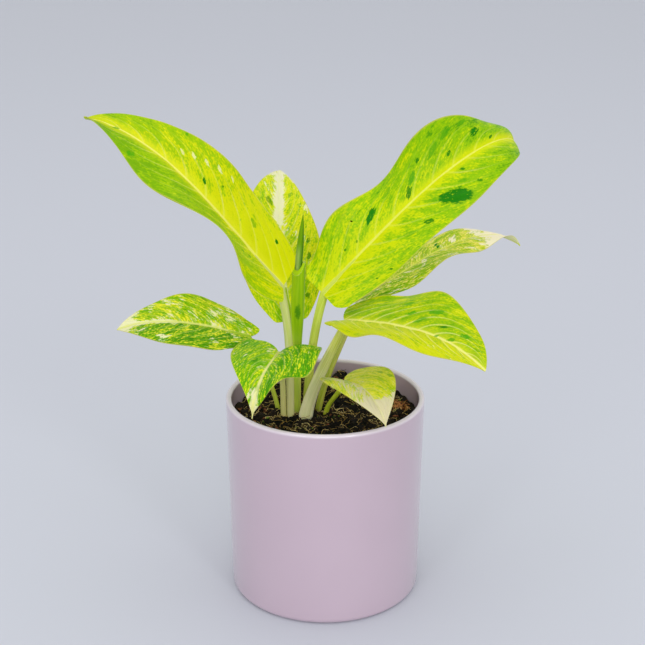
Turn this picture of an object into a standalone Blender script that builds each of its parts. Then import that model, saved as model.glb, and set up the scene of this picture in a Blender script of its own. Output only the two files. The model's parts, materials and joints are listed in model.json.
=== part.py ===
"""A Chinese evergreen in a glazed cylinder pot: pot, soil, stem, rolled new leaf and eight leaves.

The origin is the centre of the pot's flat foot, +Z is up and -Y is the side the plant is shown from.
"""
import math

import bmesh
import bpy
import numpy as np
from mathutils import Matrix

# Driving dimensions, in metres and degrees
GAP = 0.0003
WELD = 0.00001
CREASE_ANGLE = 40

POT_HEIGHT = 0.135
POT_RIM_RADIUS = 0.065
POT_FOOT_RADIUS = 0.063
POT_WALL = 0.0038
POT_FLOOR = 0.007
POT_FOOT_ROUNDING = 0.004
POT_INNER_ROUNDING = 0.006
POT_STEPS = 48
FLOOR_ARC_STEPS = 4
LIP_STEPS = 6

# The soil's clods are crossed waves: how many go into SOIL_CLOD_SIZE along X and Y, and their share
SOIL_LEVEL = 0.121
SOIL_RINGS = 9
SOIL_RELIEF = 0.0016
SOIL_CLOD_SIZE = 0.011
SOIL_WAVES = ((0.95, 0.30, 0.6), (-0.40, 0.90, 0.6), (0.55, -0.75, 0.4))
SOIL_CLUMP = (0.012, 0.052)
SOIL_CLUMP_HEIGHT = 0.006
SOIL_CLUMP_RADIUS = 0.007

# The stalks: how deep they stand, how strongly each end keeps upright, and how far the curve's
# handles reach as shares of the stalk's rise
UPRIGHT = np.array([0.0, 0.0, 1.0])
ROOTED_DEPTH = 0.022
STALK_POINTS = 12
TUBE_ROUNDING = 3
UPRIGHT_AT_FOOT = 1.2
UPRIGHT_AT_BLADE = 1.6
FOOT_HANDLE = 0.3
BLADE_HANDLE = 0.35

# The stalk runs on under the midrib: how far below the blade's face in stalk radii, then the midrib
# steps it passes with its thickness at each, and the step where it would come level with the face
STALK_SEAT = 0.85
RUNOUT_SEAT = 0.75
RUNOUT = {2: 0.85, 4: 0.65, 6: 0.45, 8: 0.25}
RUNOUT_END = 16

BLADE_EDGE = 0.0007
BLADE_COLUMNS = 10
BLADE_ROW_SPACING = 0.009
BLADE_MIN_ROWS = 12
BLADE_TIP_HALF = 0.0008
COLUMN_CROWDING = 1.4
MIDRIB_STEPS = 48
TWIST_POWER = 1.5
LOBE_SIDE = 0.6
BASE_FADE = 3
RIB_WIDTH = 0.004

STEM_DEPTH = 0.045
STEM_FOOT = (-0.0195, 0.0025)
STEM_MOUTH = (-0.0168, 0.0080, 0.2230)
STEM_RADIUS = 0.0034
STEM_FOOT_HANDLE = 0.35
STEM_MOUTH_HANDLE = 0.3
SHEATH_RADIUS = 0.0043
SHEATH_START = 0.4
SHEATH_SWELL = 0.3
SHEATH_SLOPE = 58
SHEATH_TURN = -28
SLOPE_CUTTER = 0.04

SPEAR_TIP = (-0.0140, 0.0085, 0.2540)
SPEAR_SEAT_DEPTH = 0.024
SPEAR_RADIUS = 0.0024
SPEAR_POINTS = 7
SPEAR_HANDLES = (0.4, 0.3)
SPEAR_TAPER = (0.85, 0.95, 1.0, 1.0, 0.95, 0.82, 0.62, 0.38, 0.12)

COLOURS = {
    "pot": ((0.52, 0.42, 0.53, 1.0), 0.12),
    "soil": ((0.035, 0.022, 0.015, 1.0), 0.95),
    "stem": ((0.30, 0.46, 0.05, 1.0), 0.40),
    "new_leaf": ((0.22, 0.42, 0.05, 1.0), 0.40),
    "leaf": ((0.48, 0.62, 0.02, 1.0), 0.38),
}

# One entry a leaf. foot is where its stalk enters the soil and collar is where the stalk meets the
# blade; stalk holds its radius at the foot and at the collar. heading turns from +X towards +Y, rise
# is up from level, and roll lifts the blade's left side. droop, sweep and twist are the whole bend,
# turn and twist from collar to tip. widest, base_width and point shape the outline, lobe and shoulder
# the two rounds of its base. Pairs are the left and the right half, seen from the collar with the
# upper face up: fold lifts a half off the midrib, curl bends it back, and wave ripples its edge.
LEAVES = {
    "leaf_upper_left": dict(
        foot=(-0.0225, -0.0045), collar=(-0.0265, -0.0140, 0.2140), stalk=(0.0026, 0.0028),
        heading=200, rise=51.5, roll=-43, droop=77, droop_power=3.2, sweep=-9, twist=-20,
        length=0.170, half_width=0.0305, widest=0.28, base_width=0.79, point=0.95,
        lobe=0.0, shoulder=0.006, fold=(24, 20), curl=(7, 14),
        wave=(-0.0115, 0.0022), phase=(0.14, 0.37), waves=1.65),
    "leaf_upper_right": dict(
        foot=(-0.0125, 0.0055), collar=(-0.0020, -0.0020, 0.2055), stalk=(0.0031, 0.0029),
        heading=7, rise=47, roll=38, droop=110, droop_power=3.8, sweep=-3, twist=22,
        length=0.184, half_width=0.0280, widest=0.43, base_width=0.71, point=0.63,
        lobe=0.0, shoulder=0.0065, fold=(25, 6), curl=(4, 33),
        wave=(0.0115, -0.0025), phase=(-0.13, -0.09), waves=2.15),
    "leaf_back": dict(
        foot=(-0.0220, 0.0100), collar=(-0.0225, 0.0220, 0.1790), stalk=(0.0026, 0.0023),
        heading=110, rise=57, roll=-11, droop=59, droop_power=1.9, sweep=-18, twist=5,
        length=0.133, half_width=0.0280, widest=0.30, base_width=0.52, point=1.05,
        lobe=0.001, shoulder=0.005, fold=(14, 7), curl=(15, 28),
        wave=(0.0, -0.001), phase=(0.0, -0.1), waves=2.0),
    "leaf_rear_right": dict(
        foot=(-0.0045, 0.0072), collar=(0.0216, 0.0258, 0.1912), stalk=(0.0023, 0.0021),
        heading=26, rise=25, roll=6, droop=67, droop_power=2.7, sweep=6, twist=-5,
        length=0.142, half_width=0.0210, widest=0.41, base_width=0.45, point=1.3,
        lobe=0.005, shoulder=0.013, fold=(12, 12), curl=(25, 24),
        wave=(0.0016, -0.0044), phase=(-0.12, -0.07), waves=2.0),
    "leaf_right": dict(
        foot=(-0.0130, -0.0050), collar=(0.0118, -0.0123, 0.1910), stalk=(0.0048, 0.0031),
        heading=-45, rise=12, roll=5, droop=41, droop_power=2.3, sweep=-4, twist=-3,
        length=0.118, half_width=0.0310, widest=0.44, base_width=0.57, point=0.92,
        lobe=0.006, shoulder=0.009, fold=(25, 17), curl=(3, 20),
        wave=(0.0028, -0.0027), phase=(0.23, -0.28), waves=2.0),
    "leaf_left": dict(
        foot=(-0.0310, 0.0060), collar=(-0.0488, 0.0060, 0.1733), stalk=(0.0017, 0.0016),
        heading=193, rise=21, roll=-31, droop=52, droop_power=1.8, sweep=1, twist=3,
        length=0.089, half_width=0.0220, widest=0.40, base_width=0.48, point=1.0,
        lobe=0.006, shoulder=0.010, fold=(14, 17), curl=(21, 17),
        wave=(-0.0011, -0.0013), phase=(-0.09, -0.23), waves=2.0),
    "leaf_front_left": dict(
        foot=(-0.0272, -0.0052), collar=(-0.0293, -0.0190, 0.1725), stalk=(0.0019, 0.0018),
        heading=-104, rise=0, roll=2, droop=98, droop_power=2.3, sweep=-11, twist=-1,
        length=0.062, half_width=0.0285, widest=0.20, base_width=0.88, point=2.1,
        lobe=0.011, shoulder=-0.006, fold=(14, 16), curl=(30, 21),
        wave=(0.005, 0.0), phase=(-0.03, 0.0), waves=2.0),
    "leaf_front_right": dict(
        foot=(0.0005, 0.0010), collar=(0.0117, -0.0180, 0.1524), stalk=(0.0018, 0.0016),
        heading=-62, rise=15, roll=0, droop=72, droop_power=1.7, sweep=-1, twist=1,
        length=0.0595, half_width=0.0230, widest=0.32, base_width=0.76, point=1.4,
        lobe=0.006, shoulder=0.004, fold=(24, 23), curl=(13, 20),
        wave=(0.0, 0.0), phase=(0.0, 0.0), waves=2.0),
}


def clear_scene():
    for old in list(bpy.data.objects):
        bpy.data.objects.remove(old, do_unlink=True)


def new_collection(name):
    collection = bpy.data.collections.new(name)
    bpy.context.scene.collection.children.link(collection)
    return collection


def plant_material(name):
    colour, roughness = COLOURS.get(name, COLOURS["leaf"])
    material = bpy.data.materials.new(name)
    material.use_nodes = True
    shader = material.node_tree.nodes["Principled BSDF"]
    shader.inputs["Base Color"].default_value = colour
    shader.inputs["Roughness"].default_value = roughness
    shader.inputs["Metallic"].default_value = 0.0
    return material


def add_object(name, data, collection):
    thing = bpy.data.objects.new(name, data)
    collection.objects.link(thing)
    return thing


def finish_part(thing):
    """Give a part its own material and smooth shading that keeps the sharp edges."""
    thing.data.materials.clear()
    thing.data.materials.append(plant_material(thing.name))
    thing.data.shade_smooth()
    thing.data.set_sharp_from_angle(angle=math.radians(CREASE_ANGLE))


def baked_mesh(thing):
    """The evaluated mesh of an object, welded, with its faces pointing outwards."""
    graph = bpy.context.evaluated_depsgraph_get()
    mesh = bpy.data.meshes.new_from_object(thing.evaluated_get(graph))
    work = bmesh.new()
    work.from_mesh(mesh)
    bmesh.ops.remove_doubles(work, verts=work.verts, dist=WELD)
    bmesh.ops.recalc_face_normals(work, faces=work.faces)
    work.to_mesh(mesh)
    work.free()
    return mesh


def arc(centre, radius, start, end, steps):
    """Points of a circular arc in the profile's plane, angles in degrees."""
    angles = np.radians(np.linspace(start, end, steps + 1))
    return [(centre[0] + radius * math.cos(a), centre[1] + radius * math.sin(a)) for a in angles]


def wall_radius(height):
    """The pot's outer radius: the wall leans out a little from foot to rim."""
    return POT_FOOT_RADIUS + (POT_RIM_RADIUS - POT_FOOT_RADIUS) * height / POT_HEIGHT


def inner_radius(height):
    return wall_radius(height) - POT_WALL


def turned_object(name, profile, collection):
    """Turn a profile in the XZ plane about Z with a Screw modifier."""
    mesh = bpy.data.meshes.new(name)
    points = [(r, 0.0, z) for r, z in profile]
    mesh.from_pydata(points, [(i, i + 1) for i in range(len(points) - 1)], [])
    thing = add_object(name, mesh, collection)
    screw = thing.modifiers.new("turn", "SCREW")
    screw.axis = "Z"
    screw.steps = POT_STEPS
    screw.render_steps = POT_STEPS
    screw.use_merge_vertices = True
    screw.merge_threshold = WELD
    screw.use_smooth_shade = True
    return thing


def make_pot(collection):
    """Floor, wall, rounded lip and softly rounded foot in one turned wall of clay."""
    lip = POT_WALL / 2
    lip_centre = (wall_radius(POT_HEIGHT) - lip, POT_HEIGHT - lip)
    inner_corner = (inner_radius(POT_FLOOR) - POT_INNER_ROUNDING, POT_FLOOR + POT_INNER_ROUNDING)
    foot_corner = (wall_radius(0) - POT_FOOT_ROUNDING, POT_FOOT_ROUNDING)
    profile = [(0.0, POT_FLOOR)]
    profile += arc(inner_corner, POT_INNER_ROUNDING, -90, 0, FLOOR_ARC_STEPS)
    profile += arc(lip_centre, lip, 180, 0, LIP_STEPS)
    profile += arc(foot_corner, POT_FOOT_ROUNDING, 0, -90, FLOOR_ARC_STEPS)
    profile += [(0.0, 0.0)]
    return turned_object("pot", profile, collection)


def soil_relief(x, y):
    """Clods and hollows of the soil's surface, and one clump against the back wall."""
    turn = 2 * math.pi / SOIL_CLOD_SIZE
    clods = sum(share * math.sin(turn * (along * x + across * y)) for along, across, share in SOIL_WAVES)
    far = math.dist((x, y), SOIL_CLUMP) / SOIL_CLUMP_RADIUS
    return SOIL_RELIEF * clods + SOIL_CLUMP_HEIGHT * math.exp(-far ** 2)


def make_soil(collection, cutters):
    """The plug of soil that fills the pot, with a plain hole for every stalk and for the stem."""
    low = POT_FLOOR + GAP
    corner = (inner_radius(POT_FLOOR) - POT_INNER_ROUNDING, POT_FLOOR + POT_INNER_ROUNDING)
    rim = inner_radius(SOIL_LEVEL) - GAP
    profile = [(rim * i / SOIL_RINGS, SOIL_LEVEL) for i in range(SOIL_RINGS + 1)]
    profile += arc(corner, POT_INNER_ROUNDING - GAP, 0, -90, FLOOR_ARC_STEPS)
    profile += [(0.0, low)]
    plug = turned_object("soil", profile, collection)
    mesh = baked_mesh(plug)
    for vertex in mesh.vertices:
        if vertex.co.z > SOIL_LEVEL - GAP:
            vertex.co.z += soil_relief(vertex.co.x, vertex.co.y)
    bpy.data.objects.remove(plug)
    soil = add_object("soil", mesh, collection)
    holes = soil.modifiers.new("stalk holes", "BOOLEAN")
    holes.operation = "DIFFERENCE"
    holes.operand_type = "COLLECTION"
    holes.collection = cutters
    holes.solver = "EXACT"
    return soil


def tube_mesh(name, points, radii):
    """A round tapering rod through the points, with closed ends."""
    curve = bpy.data.curves.new(name, "CURVE")
    curve.dimensions = "3D"
    curve.bevel_depth = 1.0
    curve.bevel_resolution = TUBE_ROUNDING
    curve.use_fill_caps = True
    spline = curve.splines.new("POLY")
    spline.points.add(len(points) - 1)
    for knot, place, radius in zip(spline.points, points, radii):
        knot.co = (*place, 1.0)
        knot.radius = radius
    rod = add_object(name, curve, bpy.context.scene.collection)
    mesh = baked_mesh(rod)
    bpy.data.objects.remove(rod)
    bpy.data.curves.remove(curve)
    return mesh


def bezier(ends, steps):
    """Points along a cubic curve given by its four control points."""
    a, b, c, d = [np.array(p, float) for p in ends]
    t = np.linspace(0, 1, steps)[:, None]
    return (1 - t) ** 3 * a + 3 * t * (1 - t) ** 2 * b + 3 * t ** 2 * (1 - t) * c + t ** 3 * d


def turned(vector, axis, angle):
    """A vector turned about a unit axis."""
    along = axis * np.dot(axis, vector) * (1 - math.cos(angle))
    return vector * math.cos(angle) + np.cross(axis, vector) * math.sin(angle) + along


def midrib_frames(leaf):
    """Places along the midrib, each with its forward, leftward and upward directions."""
    heading, rise, roll = (math.radians(leaf[key]) for key in ("heading", "rise", "roll"))
    forward = np.array([math.cos(heading), math.sin(heading), 0.0])
    ahead = math.cos(rise) * forward + math.sin(rise) * UPRIGHT
    level = np.cross(UPRIGHT, forward)
    left = turned(level, ahead, roll)
    up = np.cross(ahead, left)
    place = np.array(leaf["collar"], float)
    frames = [(place, ahead, left, up)]
    for i in range(MIDRIB_STEPS):
        t0, t1 = i / MIDRIB_STEPS, (i + 1) / MIDRIB_STEPS
        droop = math.radians(leaf["droop"]) * (t1 ** leaf["droop_power"] - t0 ** leaf["droop_power"])
        twist = math.radians(leaf["twist"]) * (t1 ** TWIST_POWER - t0 ** TWIST_POWER)
        before = ahead
        ahead = turned(ahead, left, droop)
        up = np.cross(ahead, left)
        ahead = turned(ahead, up, math.radians(leaf["sweep"]) / MIDRIB_STEPS)
        left = np.cross(up, ahead)
        left = turned(left, ahead, twist)
        up = np.cross(ahead, left)
        place = place + (before + ahead) / 2 * leaf["length"] / MIDRIB_STEPS
        frames.append((place, ahead, left, up))
    return [np.array([frame[k] for frame in frames]) for k in range(4)]


def width_share(t, leaf):
    """The blade's half width along its length, as a share of the widest."""
    low = np.clip((leaf["widest"] - t) / leaf["widest"], 0, 1)
    high = np.clip((t - leaf["widest"]) / (1 - leaf["widest"]), 0, 1)
    rising = leaf["base_width"] + (1 - leaf["base_width"]) * (1 - low ** 2)
    return np.where(t < leaf["widest"], rising, np.clip(1 - high ** 2, 0, 1) ** leaf["point"])


def blade_surface(leaf, t, u):
    """The blade's upper face at t from collar to tip and u from -1, the right edge, to 1, the left."""
    places, ahead, left, up = midrib_frames(leaf)
    side = np.abs(u)
    lobe = 1 - (1 - side / LOBE_SIDE) ** 2
    shoulder = np.clip((side - LOBE_SIDE) / (1 - LOBE_SIDE), 0, 1) ** 2
    base = leaf["shoulder"] * shoulder - leaf["lobe"] * lobe
    along = t * leaf["length"] + base * (1 - t) ** BASE_FADE
    half = np.maximum(leaf["half_width"] * width_share(t, leaf), BLADE_TIP_HALF)
    fold = np.radians(np.where(u > 0, *leaf["fold"]))
    curl = np.radians(np.where(u > 0, *leaf["curl"]))
    across = half * (np.sin(fold) - np.sin(fold - curl * side)) / curl
    height = half * (np.cos(fold - curl * side) - np.cos(fold)) / curl
    ripple = np.sin(2 * math.pi * (leaf["waves"] * t + np.where(u > 0, *leaf["phase"])))
    height = height + np.where(u > 0, *leaf["wave"]) * side ** 2 * ripple * np.sqrt(np.sin(math.pi * t))
    step = np.clip(along / leaf["length"], 0, 1) * MIDRIB_STEPS
    index = np.clip(np.floor(step).astype(int), 0, MIDRIB_STEPS - 1)
    share = (step - index)[..., None]

    def between(values):
        return values[index] * (1 - share) + values[index + 1] * share

    spot = between(places) + np.minimum(along, 0)[..., None] * ahead[0]
    return spot + between(left) * (np.sign(u) * across)[..., None] + between(up) * height[..., None]


def make_blade(name, leaf, collection):
    """The thin blade, thickened underneath along its midrib."""
    rows = max(BLADE_MIN_ROWS, round(leaf["length"] / BLADE_ROW_SPACING))
    grid = bmesh.new()
    bmesh.ops.create_grid(grid, x_segments=BLADE_COLUMNS, y_segments=rows, size=1.0)
    flat = np.array([vertex.co for vertex in grid.verts])
    u = -np.sign(flat[:, 0]) * np.abs(flat[:, 0]) ** COLUMN_CROWDING
    t = np.clip((flat[:, 1] + 1) / 2, 0, 1)
    surface = blade_surface(leaf, t, u)
    for vertex, place in zip(grid.verts, surface):
        vertex.co = place
    bmesh.ops.triangulate(grid, faces=grid.faces, quad_method="ALTERNATE")
    mesh = bpy.data.meshes.new(name)
    grid.to_mesh(mesh)
    grid.free()
    blade = add_object(name, mesh, collection)
    rib = blade.vertex_groups.new(name="rib")
    off_rib = np.abs(u) * leaf["half_width"] * width_share(t, leaf)
    weights = np.clip(1 - off_rib / RIB_WIDTH, 0, 1) * (1 - t)
    for i, weight in enumerate(weights):
        rib.add([i], float(weight), "REPLACE")
    solid = blade.modifiers.new("thickness", "SOLIDIFY")
    solid.offset = -1
    solid.thickness = leaf["stalk"][1]
    solid.vertex_group = "rib"
    solid.thickness_vertex_group = BLADE_EDGE / leaf["stalk"][1]
    return blade


def unit(vector):
    return vector / np.linalg.norm(vector)


def stalk_path(leaf):
    """The stalk's line: upright in the soil, bending over to run into the underside of the midrib."""
    places, ahead, _, up = midrib_frames(leaf)
    foot = np.array([*leaf["foot"], SOIL_LEVEL])
    radius = leaf["stalk"][1]
    top = places[0] - up[0] * radius * STALK_SEAT
    rise = np.linalg.norm(top - foot)
    leaving = unit(unit(top - foot) + UPRIGHT_AT_FOOT * UPRIGHT)
    arriving = unit(ahead[0] + UPRIGHT_AT_BLADE * UPRIGHT)
    ends = (foot, foot + FOOT_HANDLE * rise * leaving, top - BLADE_HANDLE * rise * arriving, top)
    under = [places[i] - up[i] * radius * RUNOUT_SEAT * (1 - i / RUNOUT_END) for i in RUNOUT]
    return np.vstack([[foot - ROOTED_DEPTH * UPRIGHT], bezier(ends, STALK_POINTS), under])


def stalk_radii(leaf):
    """The foot's radius easing into the collar's, then thinning out under the blade."""
    low, high = leaf["stalk"]
    share = np.linspace(0, 1, STALK_POINTS)
    free = high + (low - high) * (1 - share) ** 2
    under = [high * thickness for thickness in RUNOUT.values()]
    return [low, *free, *under]


def stalk_cutter(name, leaf, cutters):
    """What cuts the stalk's plain hole in the soil: its buried stretch, one gap larger all round."""
    path = stalk_path(leaf)[:3].copy()
    path[0][2] -= GAP
    low = leaf["stalk"][0] + GAP
    radii = [low, low, stalk_radii(leaf)[2] + GAP]
    add_cutter(name + "_hole", tube_mesh(name + "_hole", path, radii), cutters)


def add_cutter(name, mesh, cutters):
    cutter = add_object(name, mesh, cutters)
    cutter.hide_render = True
    cutter.display_type = "WIRE"
    return cutter


def joined_mesh(first, second, operation="UNION"):
    """The Boolean of two closed objects as one plain mesh; both objects are removed."""
    boolean = first.modifiers.new("join", "BOOLEAN")
    boolean.operation = operation
    boolean.object = second
    boolean.solver = "EXACT"
    mesh = baked_mesh(first)
    bpy.data.objects.remove(first)
    bpy.data.objects.remove(second)
    return mesh


def make_leaf(name, leaf, collection, cutters):
    """One leaf, grown as one piece: blade, midrib and stalk down into the soil."""
    stalk = add_object(name + "_stalk", tube_mesh(name, stalk_path(leaf), stalk_radii(leaf)), collection)
    blade = make_blade(name + "_blade", leaf, collection)
    thing = add_object(name, joined_mesh(stalk, blade), collection)
    stalk_cutter(name, leaf, cutters)
    finish_part(thing)


def stem_path():
    """The stem's line from deep in the soil to the mouth of its top sheath."""
    foot = np.array([*STEM_FOOT, SOIL_LEVEL])
    mouth = np.array(STEM_MOUTH)
    rise = mouth - foot
    above_foot = foot + STEM_FOOT_HANDLE * np.linalg.norm(rise) * UPRIGHT
    ends = (foot, above_foot, mouth - STEM_MOUTH_HANDLE * rise, mouth)
    return np.vstack([[foot - STEM_DEPTH * UPRIGHT], bezier(ends, STALK_POINTS)])


def stem_radii():
    """Slender above the soil, swelling where the sheath wraps the new leaf."""
    share = np.linspace(0, 1, STALK_POINTS)
    swell = np.clip((share - SHEATH_START) / SHEATH_SWELL, 0, 1)
    free = STEM_RADIUS + (SHEATH_RADIUS - STEM_RADIUS) * swell * swell * (3 - 2 * swell)
    return [STEM_RADIUS, *free]


def spear_path():
    """The rolled leaf's line: up through the sheath from its seat, then to the tip."""
    sheath = stem_path()
    mouth = sheath[-1]
    seat = mouth - SPEAR_SEAT_DEPTH * unit(mouth - sheath[-3])
    tip = np.array(SPEAR_TIP)
    low, high = SPEAR_HANDLES
    ends = (mouth, mouth + (tip - mouth) * low, tip - (tip - mouth) * high, tip)
    return np.vstack([[seat], [(seat + mouth) / 2], bezier(ends, SPEAR_POINTS)])


def spear_radii(extra=0.0):
    return [SPEAR_RADIUS * share + extra for share in SPEAR_TAPER]


def make_new_leaf(collection):
    return add_object("new_leaf", tube_mesh("new_leaf", spear_path(), spear_radii()), collection)


def make_stem(collection, cutters):
    """The short stem and, in one piece with it, the green sheath that opens at an oblique mouth."""
    stem = add_object("stem_rod", tube_mesh("stem", stem_path(), stem_radii()), collection)
    bore_path = spear_path()
    bore_path[0] = bore_path[0] - GAP * UPRIGHT
    bore = add_object("stem_bore", tube_mesh("bore", bore_path, spear_radii(GAP)), collection)
    bored = add_object("stem_bored", joined_mesh(stem, bore, "DIFFERENCE"), collection)
    bpy.ops.mesh.primitive_cube_add(size=SLOPE_CUTTER, location=STEM_MOUTH)
    slope = bpy.context.object
    slope.data.transform(Matrix.Translation((0.0, 0.0, SLOPE_CUTTER / 2)))
    slope.rotation_euler = (math.radians(SHEATH_SLOPE), 0.0, math.radians(SHEATH_TURN))
    stem = add_object("stem", joined_mesh(bored, slope, "DIFFERENCE"), collection)
    hole_path = stem_path()[:3]
    hole_path[0] = hole_path[0] - GAP * UPRIGHT
    add_cutter("stem_hole", tube_mesh("stem_hole", hole_path, [r + GAP for r in stem_radii()[:3]]), cutters)
    return stem


def main():
    clear_scene()
    plant = new_collection("potted_chinese_evergreen")
    cutters = new_collection("cutters")
    finish_part(make_pot(plant))
    finish_part(make_stem(plant, cutters))
    finish_part(make_new_leaf(plant))
    for name, leaf in LEAVES.items():
        make_leaf(name, leaf, plant, cutters)
    finish_part(make_soil(plant, cutters))


main()
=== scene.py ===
"""The looks of the potted Chinese evergreen, piece by piece as it is put together.

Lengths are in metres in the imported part's frame: the origin at the centre of the pot's foot, +Z up.
"""

import json
import math

import bmesh
import bpy
import numpy as np
from mathutils import Euler, Matrix, Vector, noise

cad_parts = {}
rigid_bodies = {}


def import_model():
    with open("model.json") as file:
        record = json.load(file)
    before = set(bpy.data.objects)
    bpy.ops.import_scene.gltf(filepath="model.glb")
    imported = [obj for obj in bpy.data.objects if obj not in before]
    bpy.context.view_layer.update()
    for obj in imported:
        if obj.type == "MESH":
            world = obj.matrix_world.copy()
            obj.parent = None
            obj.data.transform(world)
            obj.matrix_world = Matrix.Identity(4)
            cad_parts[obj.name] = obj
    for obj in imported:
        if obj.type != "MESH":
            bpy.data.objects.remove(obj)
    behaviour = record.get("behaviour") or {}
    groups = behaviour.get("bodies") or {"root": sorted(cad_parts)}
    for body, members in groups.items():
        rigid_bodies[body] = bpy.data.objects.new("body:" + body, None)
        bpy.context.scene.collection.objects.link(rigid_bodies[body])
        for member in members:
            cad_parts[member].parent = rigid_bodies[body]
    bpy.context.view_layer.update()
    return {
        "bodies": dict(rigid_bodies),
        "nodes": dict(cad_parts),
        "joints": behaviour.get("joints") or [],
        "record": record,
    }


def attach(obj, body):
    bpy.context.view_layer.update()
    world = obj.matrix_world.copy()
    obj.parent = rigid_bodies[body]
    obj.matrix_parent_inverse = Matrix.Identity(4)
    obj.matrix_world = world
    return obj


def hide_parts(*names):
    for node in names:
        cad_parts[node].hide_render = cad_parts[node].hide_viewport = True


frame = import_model()

# ------------------------------------------------------------------------------------------------
# The pot. A slip-cast stoneware cylinder with a softly rounded foot and lip, dipped in a glossy
# lilac-pink glaze that pools a little and thins along the lip, where a paler line is painted: partly the
# thinner glaze, partly a painted highlight.
POT_HEIGHT = 0.135
POT_RIM_RADIUS = 0.065
POT_FOOT_RADIUS = 0.063
POT_WALL = 0.0038
POT_FLOOR = 0.007
POT_FOOT_ROUNDING = 0.004
POT_INNER_ROUNDING = 0.006
POT_STEPS = 180
WALL_POINTS = 16
WELD = 0.00001
FULL_TURN = 2 * math.pi
GLAZE, GLAZE_POOLED, GLAZE_THIN_AND_HIGHLIGHT = (191, 170, 184), (195, 174, 188), (226, 216, 224)
LIP_FADE = (0.0026, 0.0008)
GLAZE_CLOUDS, GLAZE_DIMPLES = 14.0, 170.0


class Reading:
    """What a node gives out. Signs between readings and numbers add Math nodes to its tree."""

    def __init__(self, tree, socket):
        self.tree, self.socket = tree, socket

    def __add__(self, other):
        return reckon("ADD", self, other)

    def __sub__(self, other):
        return reckon("SUBTRACT", self, other)

    def __rsub__(self, other):
        return reckon("SUBTRACT", other, self)

    def __mul__(self, other):
        return reckon("MULTIPLY", self, other)

    def __truediv__(self, other):
        return reckon("DIVIDE", self, other)

    def __abs__(self):
        return reckon("ABSOLUTE", self)

    __radd__, __rmul__ = __add__, __mul__


def fill(node, values):
    """Give a node's inputs their plain values or the readings that feed them."""
    for key, value in values.items():
        if isinstance(value, Reading):
            value.tree.links.new(value.socket, node.inputs[key])
        else:
            node.inputs[key].default_value = value


def put(tree, kind, inputs=None, **settings):
    """Add a node to a tree, with its settings and its inputs."""
    node = tree.nodes.new(kind)
    for name, value in settings.items():
        setattr(node, name, value)
    fill(node, inputs or {})
    return node


def read_all(tree, kind, inputs=None, **settings):
    """Add a node and read all its outputs."""
    return [Reading(tree, socket) for socket in put(tree, kind, inputs, **settings).outputs]


def read(tree, kind, inputs=None, output=0, **settings):
    """Add a node and read one of its outputs."""
    return Reading(tree, put(tree, kind, inputs, **settings).outputs[output])


def home(*values):
    """The tree that some readings, or readings and numbers, belong to."""
    return next(value.tree for value in values if isinstance(value, Reading))


def reckon(operation, *values):
    """The result of a Math node, in a shader tree or a Geometry Nodes tree."""
    return read(home(*values), "ShaderNodeMath", dict(enumerate(values)), operation=operation)


def split(vector):
    """The three parts of a vector."""
    return read_all(vector.tree, "ShaderNodeSeparateXYZ", {0: vector})


def step_up(value, low, high):
    """A soft step from 0 at low to 1 at high."""
    inputs = {"Value": value, "From Min": low, "From Max": high}
    return read(value.tree, "ShaderNodeMapRange", inputs, interpolation_type="SMOOTHSTEP")


def tint(share, first, second):
    """A colour mixed from two."""
    inputs = {0: share, 6: first, 7: second}
    return read(home(share, first, second), "ShaderNodeMix", inputs, 2, data_type="RGBA")


def cloud(place, scale, detail, torn=0.5, seed=None, output="Fac"):
    """Noise at a place; patterns that share a place are told apart by their seed."""
    inputs = {"Vector": place, "Scale": scale, "Detail": detail, "Roughness": torn}
    if seed is None:
        return read(place.tree, "ShaderNodeTexNoise", inputs, output)
    return read(place.tree, "ShaderNodeTexNoise", {**inputs, "W": seed}, output, noise_dimensions="4D")


def new_tree(name, kind, inputs, outputs):
    """A node tree and what it is given; its inputs and outputs are named by the kind of socket."""
    tree = bpy.data.node_groups.new(name, kind)
    for way, sockets in (("INPUT", inputs), ("OUTPUT", outputs)):
        for socket, labels in sockets.items():
            for label in labels:
                tree.interface.new_socket(label, in_out=way, socket_type="NodeSocket" + socket)
    return tree, {output.name: Reading(tree, output) for output in put(tree, "NodeGroupInput").outputs}


def new_shape_tree(name, whole_numbers, measures):
    """A Geometry Nodes tree: it takes and gives a geometry and is told its measures and a material."""
    return new_tree(name, "GeometryNodeTree", {
        "Geometry": ["Geometry"], "Int": whole_numbers, "Float": measures, "Material": ["Material"]},
        {"Geometry": ["Geometry"]})


def finish_shape(given, last):
    """Every such tree ends by making its instances real and giving them their material."""
    real = read(last.tree, "GeometryNodeRealizeInstances", {"Geometry": last})
    done = read(last.tree, "GeometryNodeSetMaterial", {"Geometry": real, "Material": given["Material"]})
    put(last.tree, "NodeGroupOutput", {"Geometry": done})
    return last.tree


def stand(name, data):
    """A new object in the scene."""
    thing = bpy.data.objects.new(name, data)
    bpy.context.scene.collection.objects.link(thing)
    return thing


def make_mesh(name, points, edges=(), faces=()):
    mesh = bpy.data.meshes.new(name)
    mesh.from_pydata([tuple(point) for point in points], edges, faces)
    return mesh


def bake(name, carrier, *others):
    """The plain mesh that a carrier's modifiers make; the carrier and the others then go."""
    graph = bpy.context.evaluated_depsgraph_get()
    mesh = bpy.data.meshes.new_from_object(carrier.evaluated_get(graph))
    carrier.modifiers.clear()
    for holder in (carrier, *others):
        bpy.data.objects.remove(holder)
    mesh.name = name
    return mesh


def grow_mesh(name, source, tree, values, material):
    """The plain mesh that a tree makes from a source mesh, its material and its named inputs."""
    carrier = stand(name + "_source", source)
    modifier = carrier.modifiers.new(tree.name, "NODES")
    modifier.node_group = tree
    values = {**values, "Material": material}
    for item in tree.interface.items_tree:
        if item.in_out == "INPUT" and item.name in values:
            modifier[item.identifier] = values[item.name]
    mesh = bake(name, carrier)
    mesh.materials.clear()
    mesh.materials.append(material)
    mesh.polygons.foreach_set("material_index", [0] * len(mesh.polygons))
    return mesh


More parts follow.
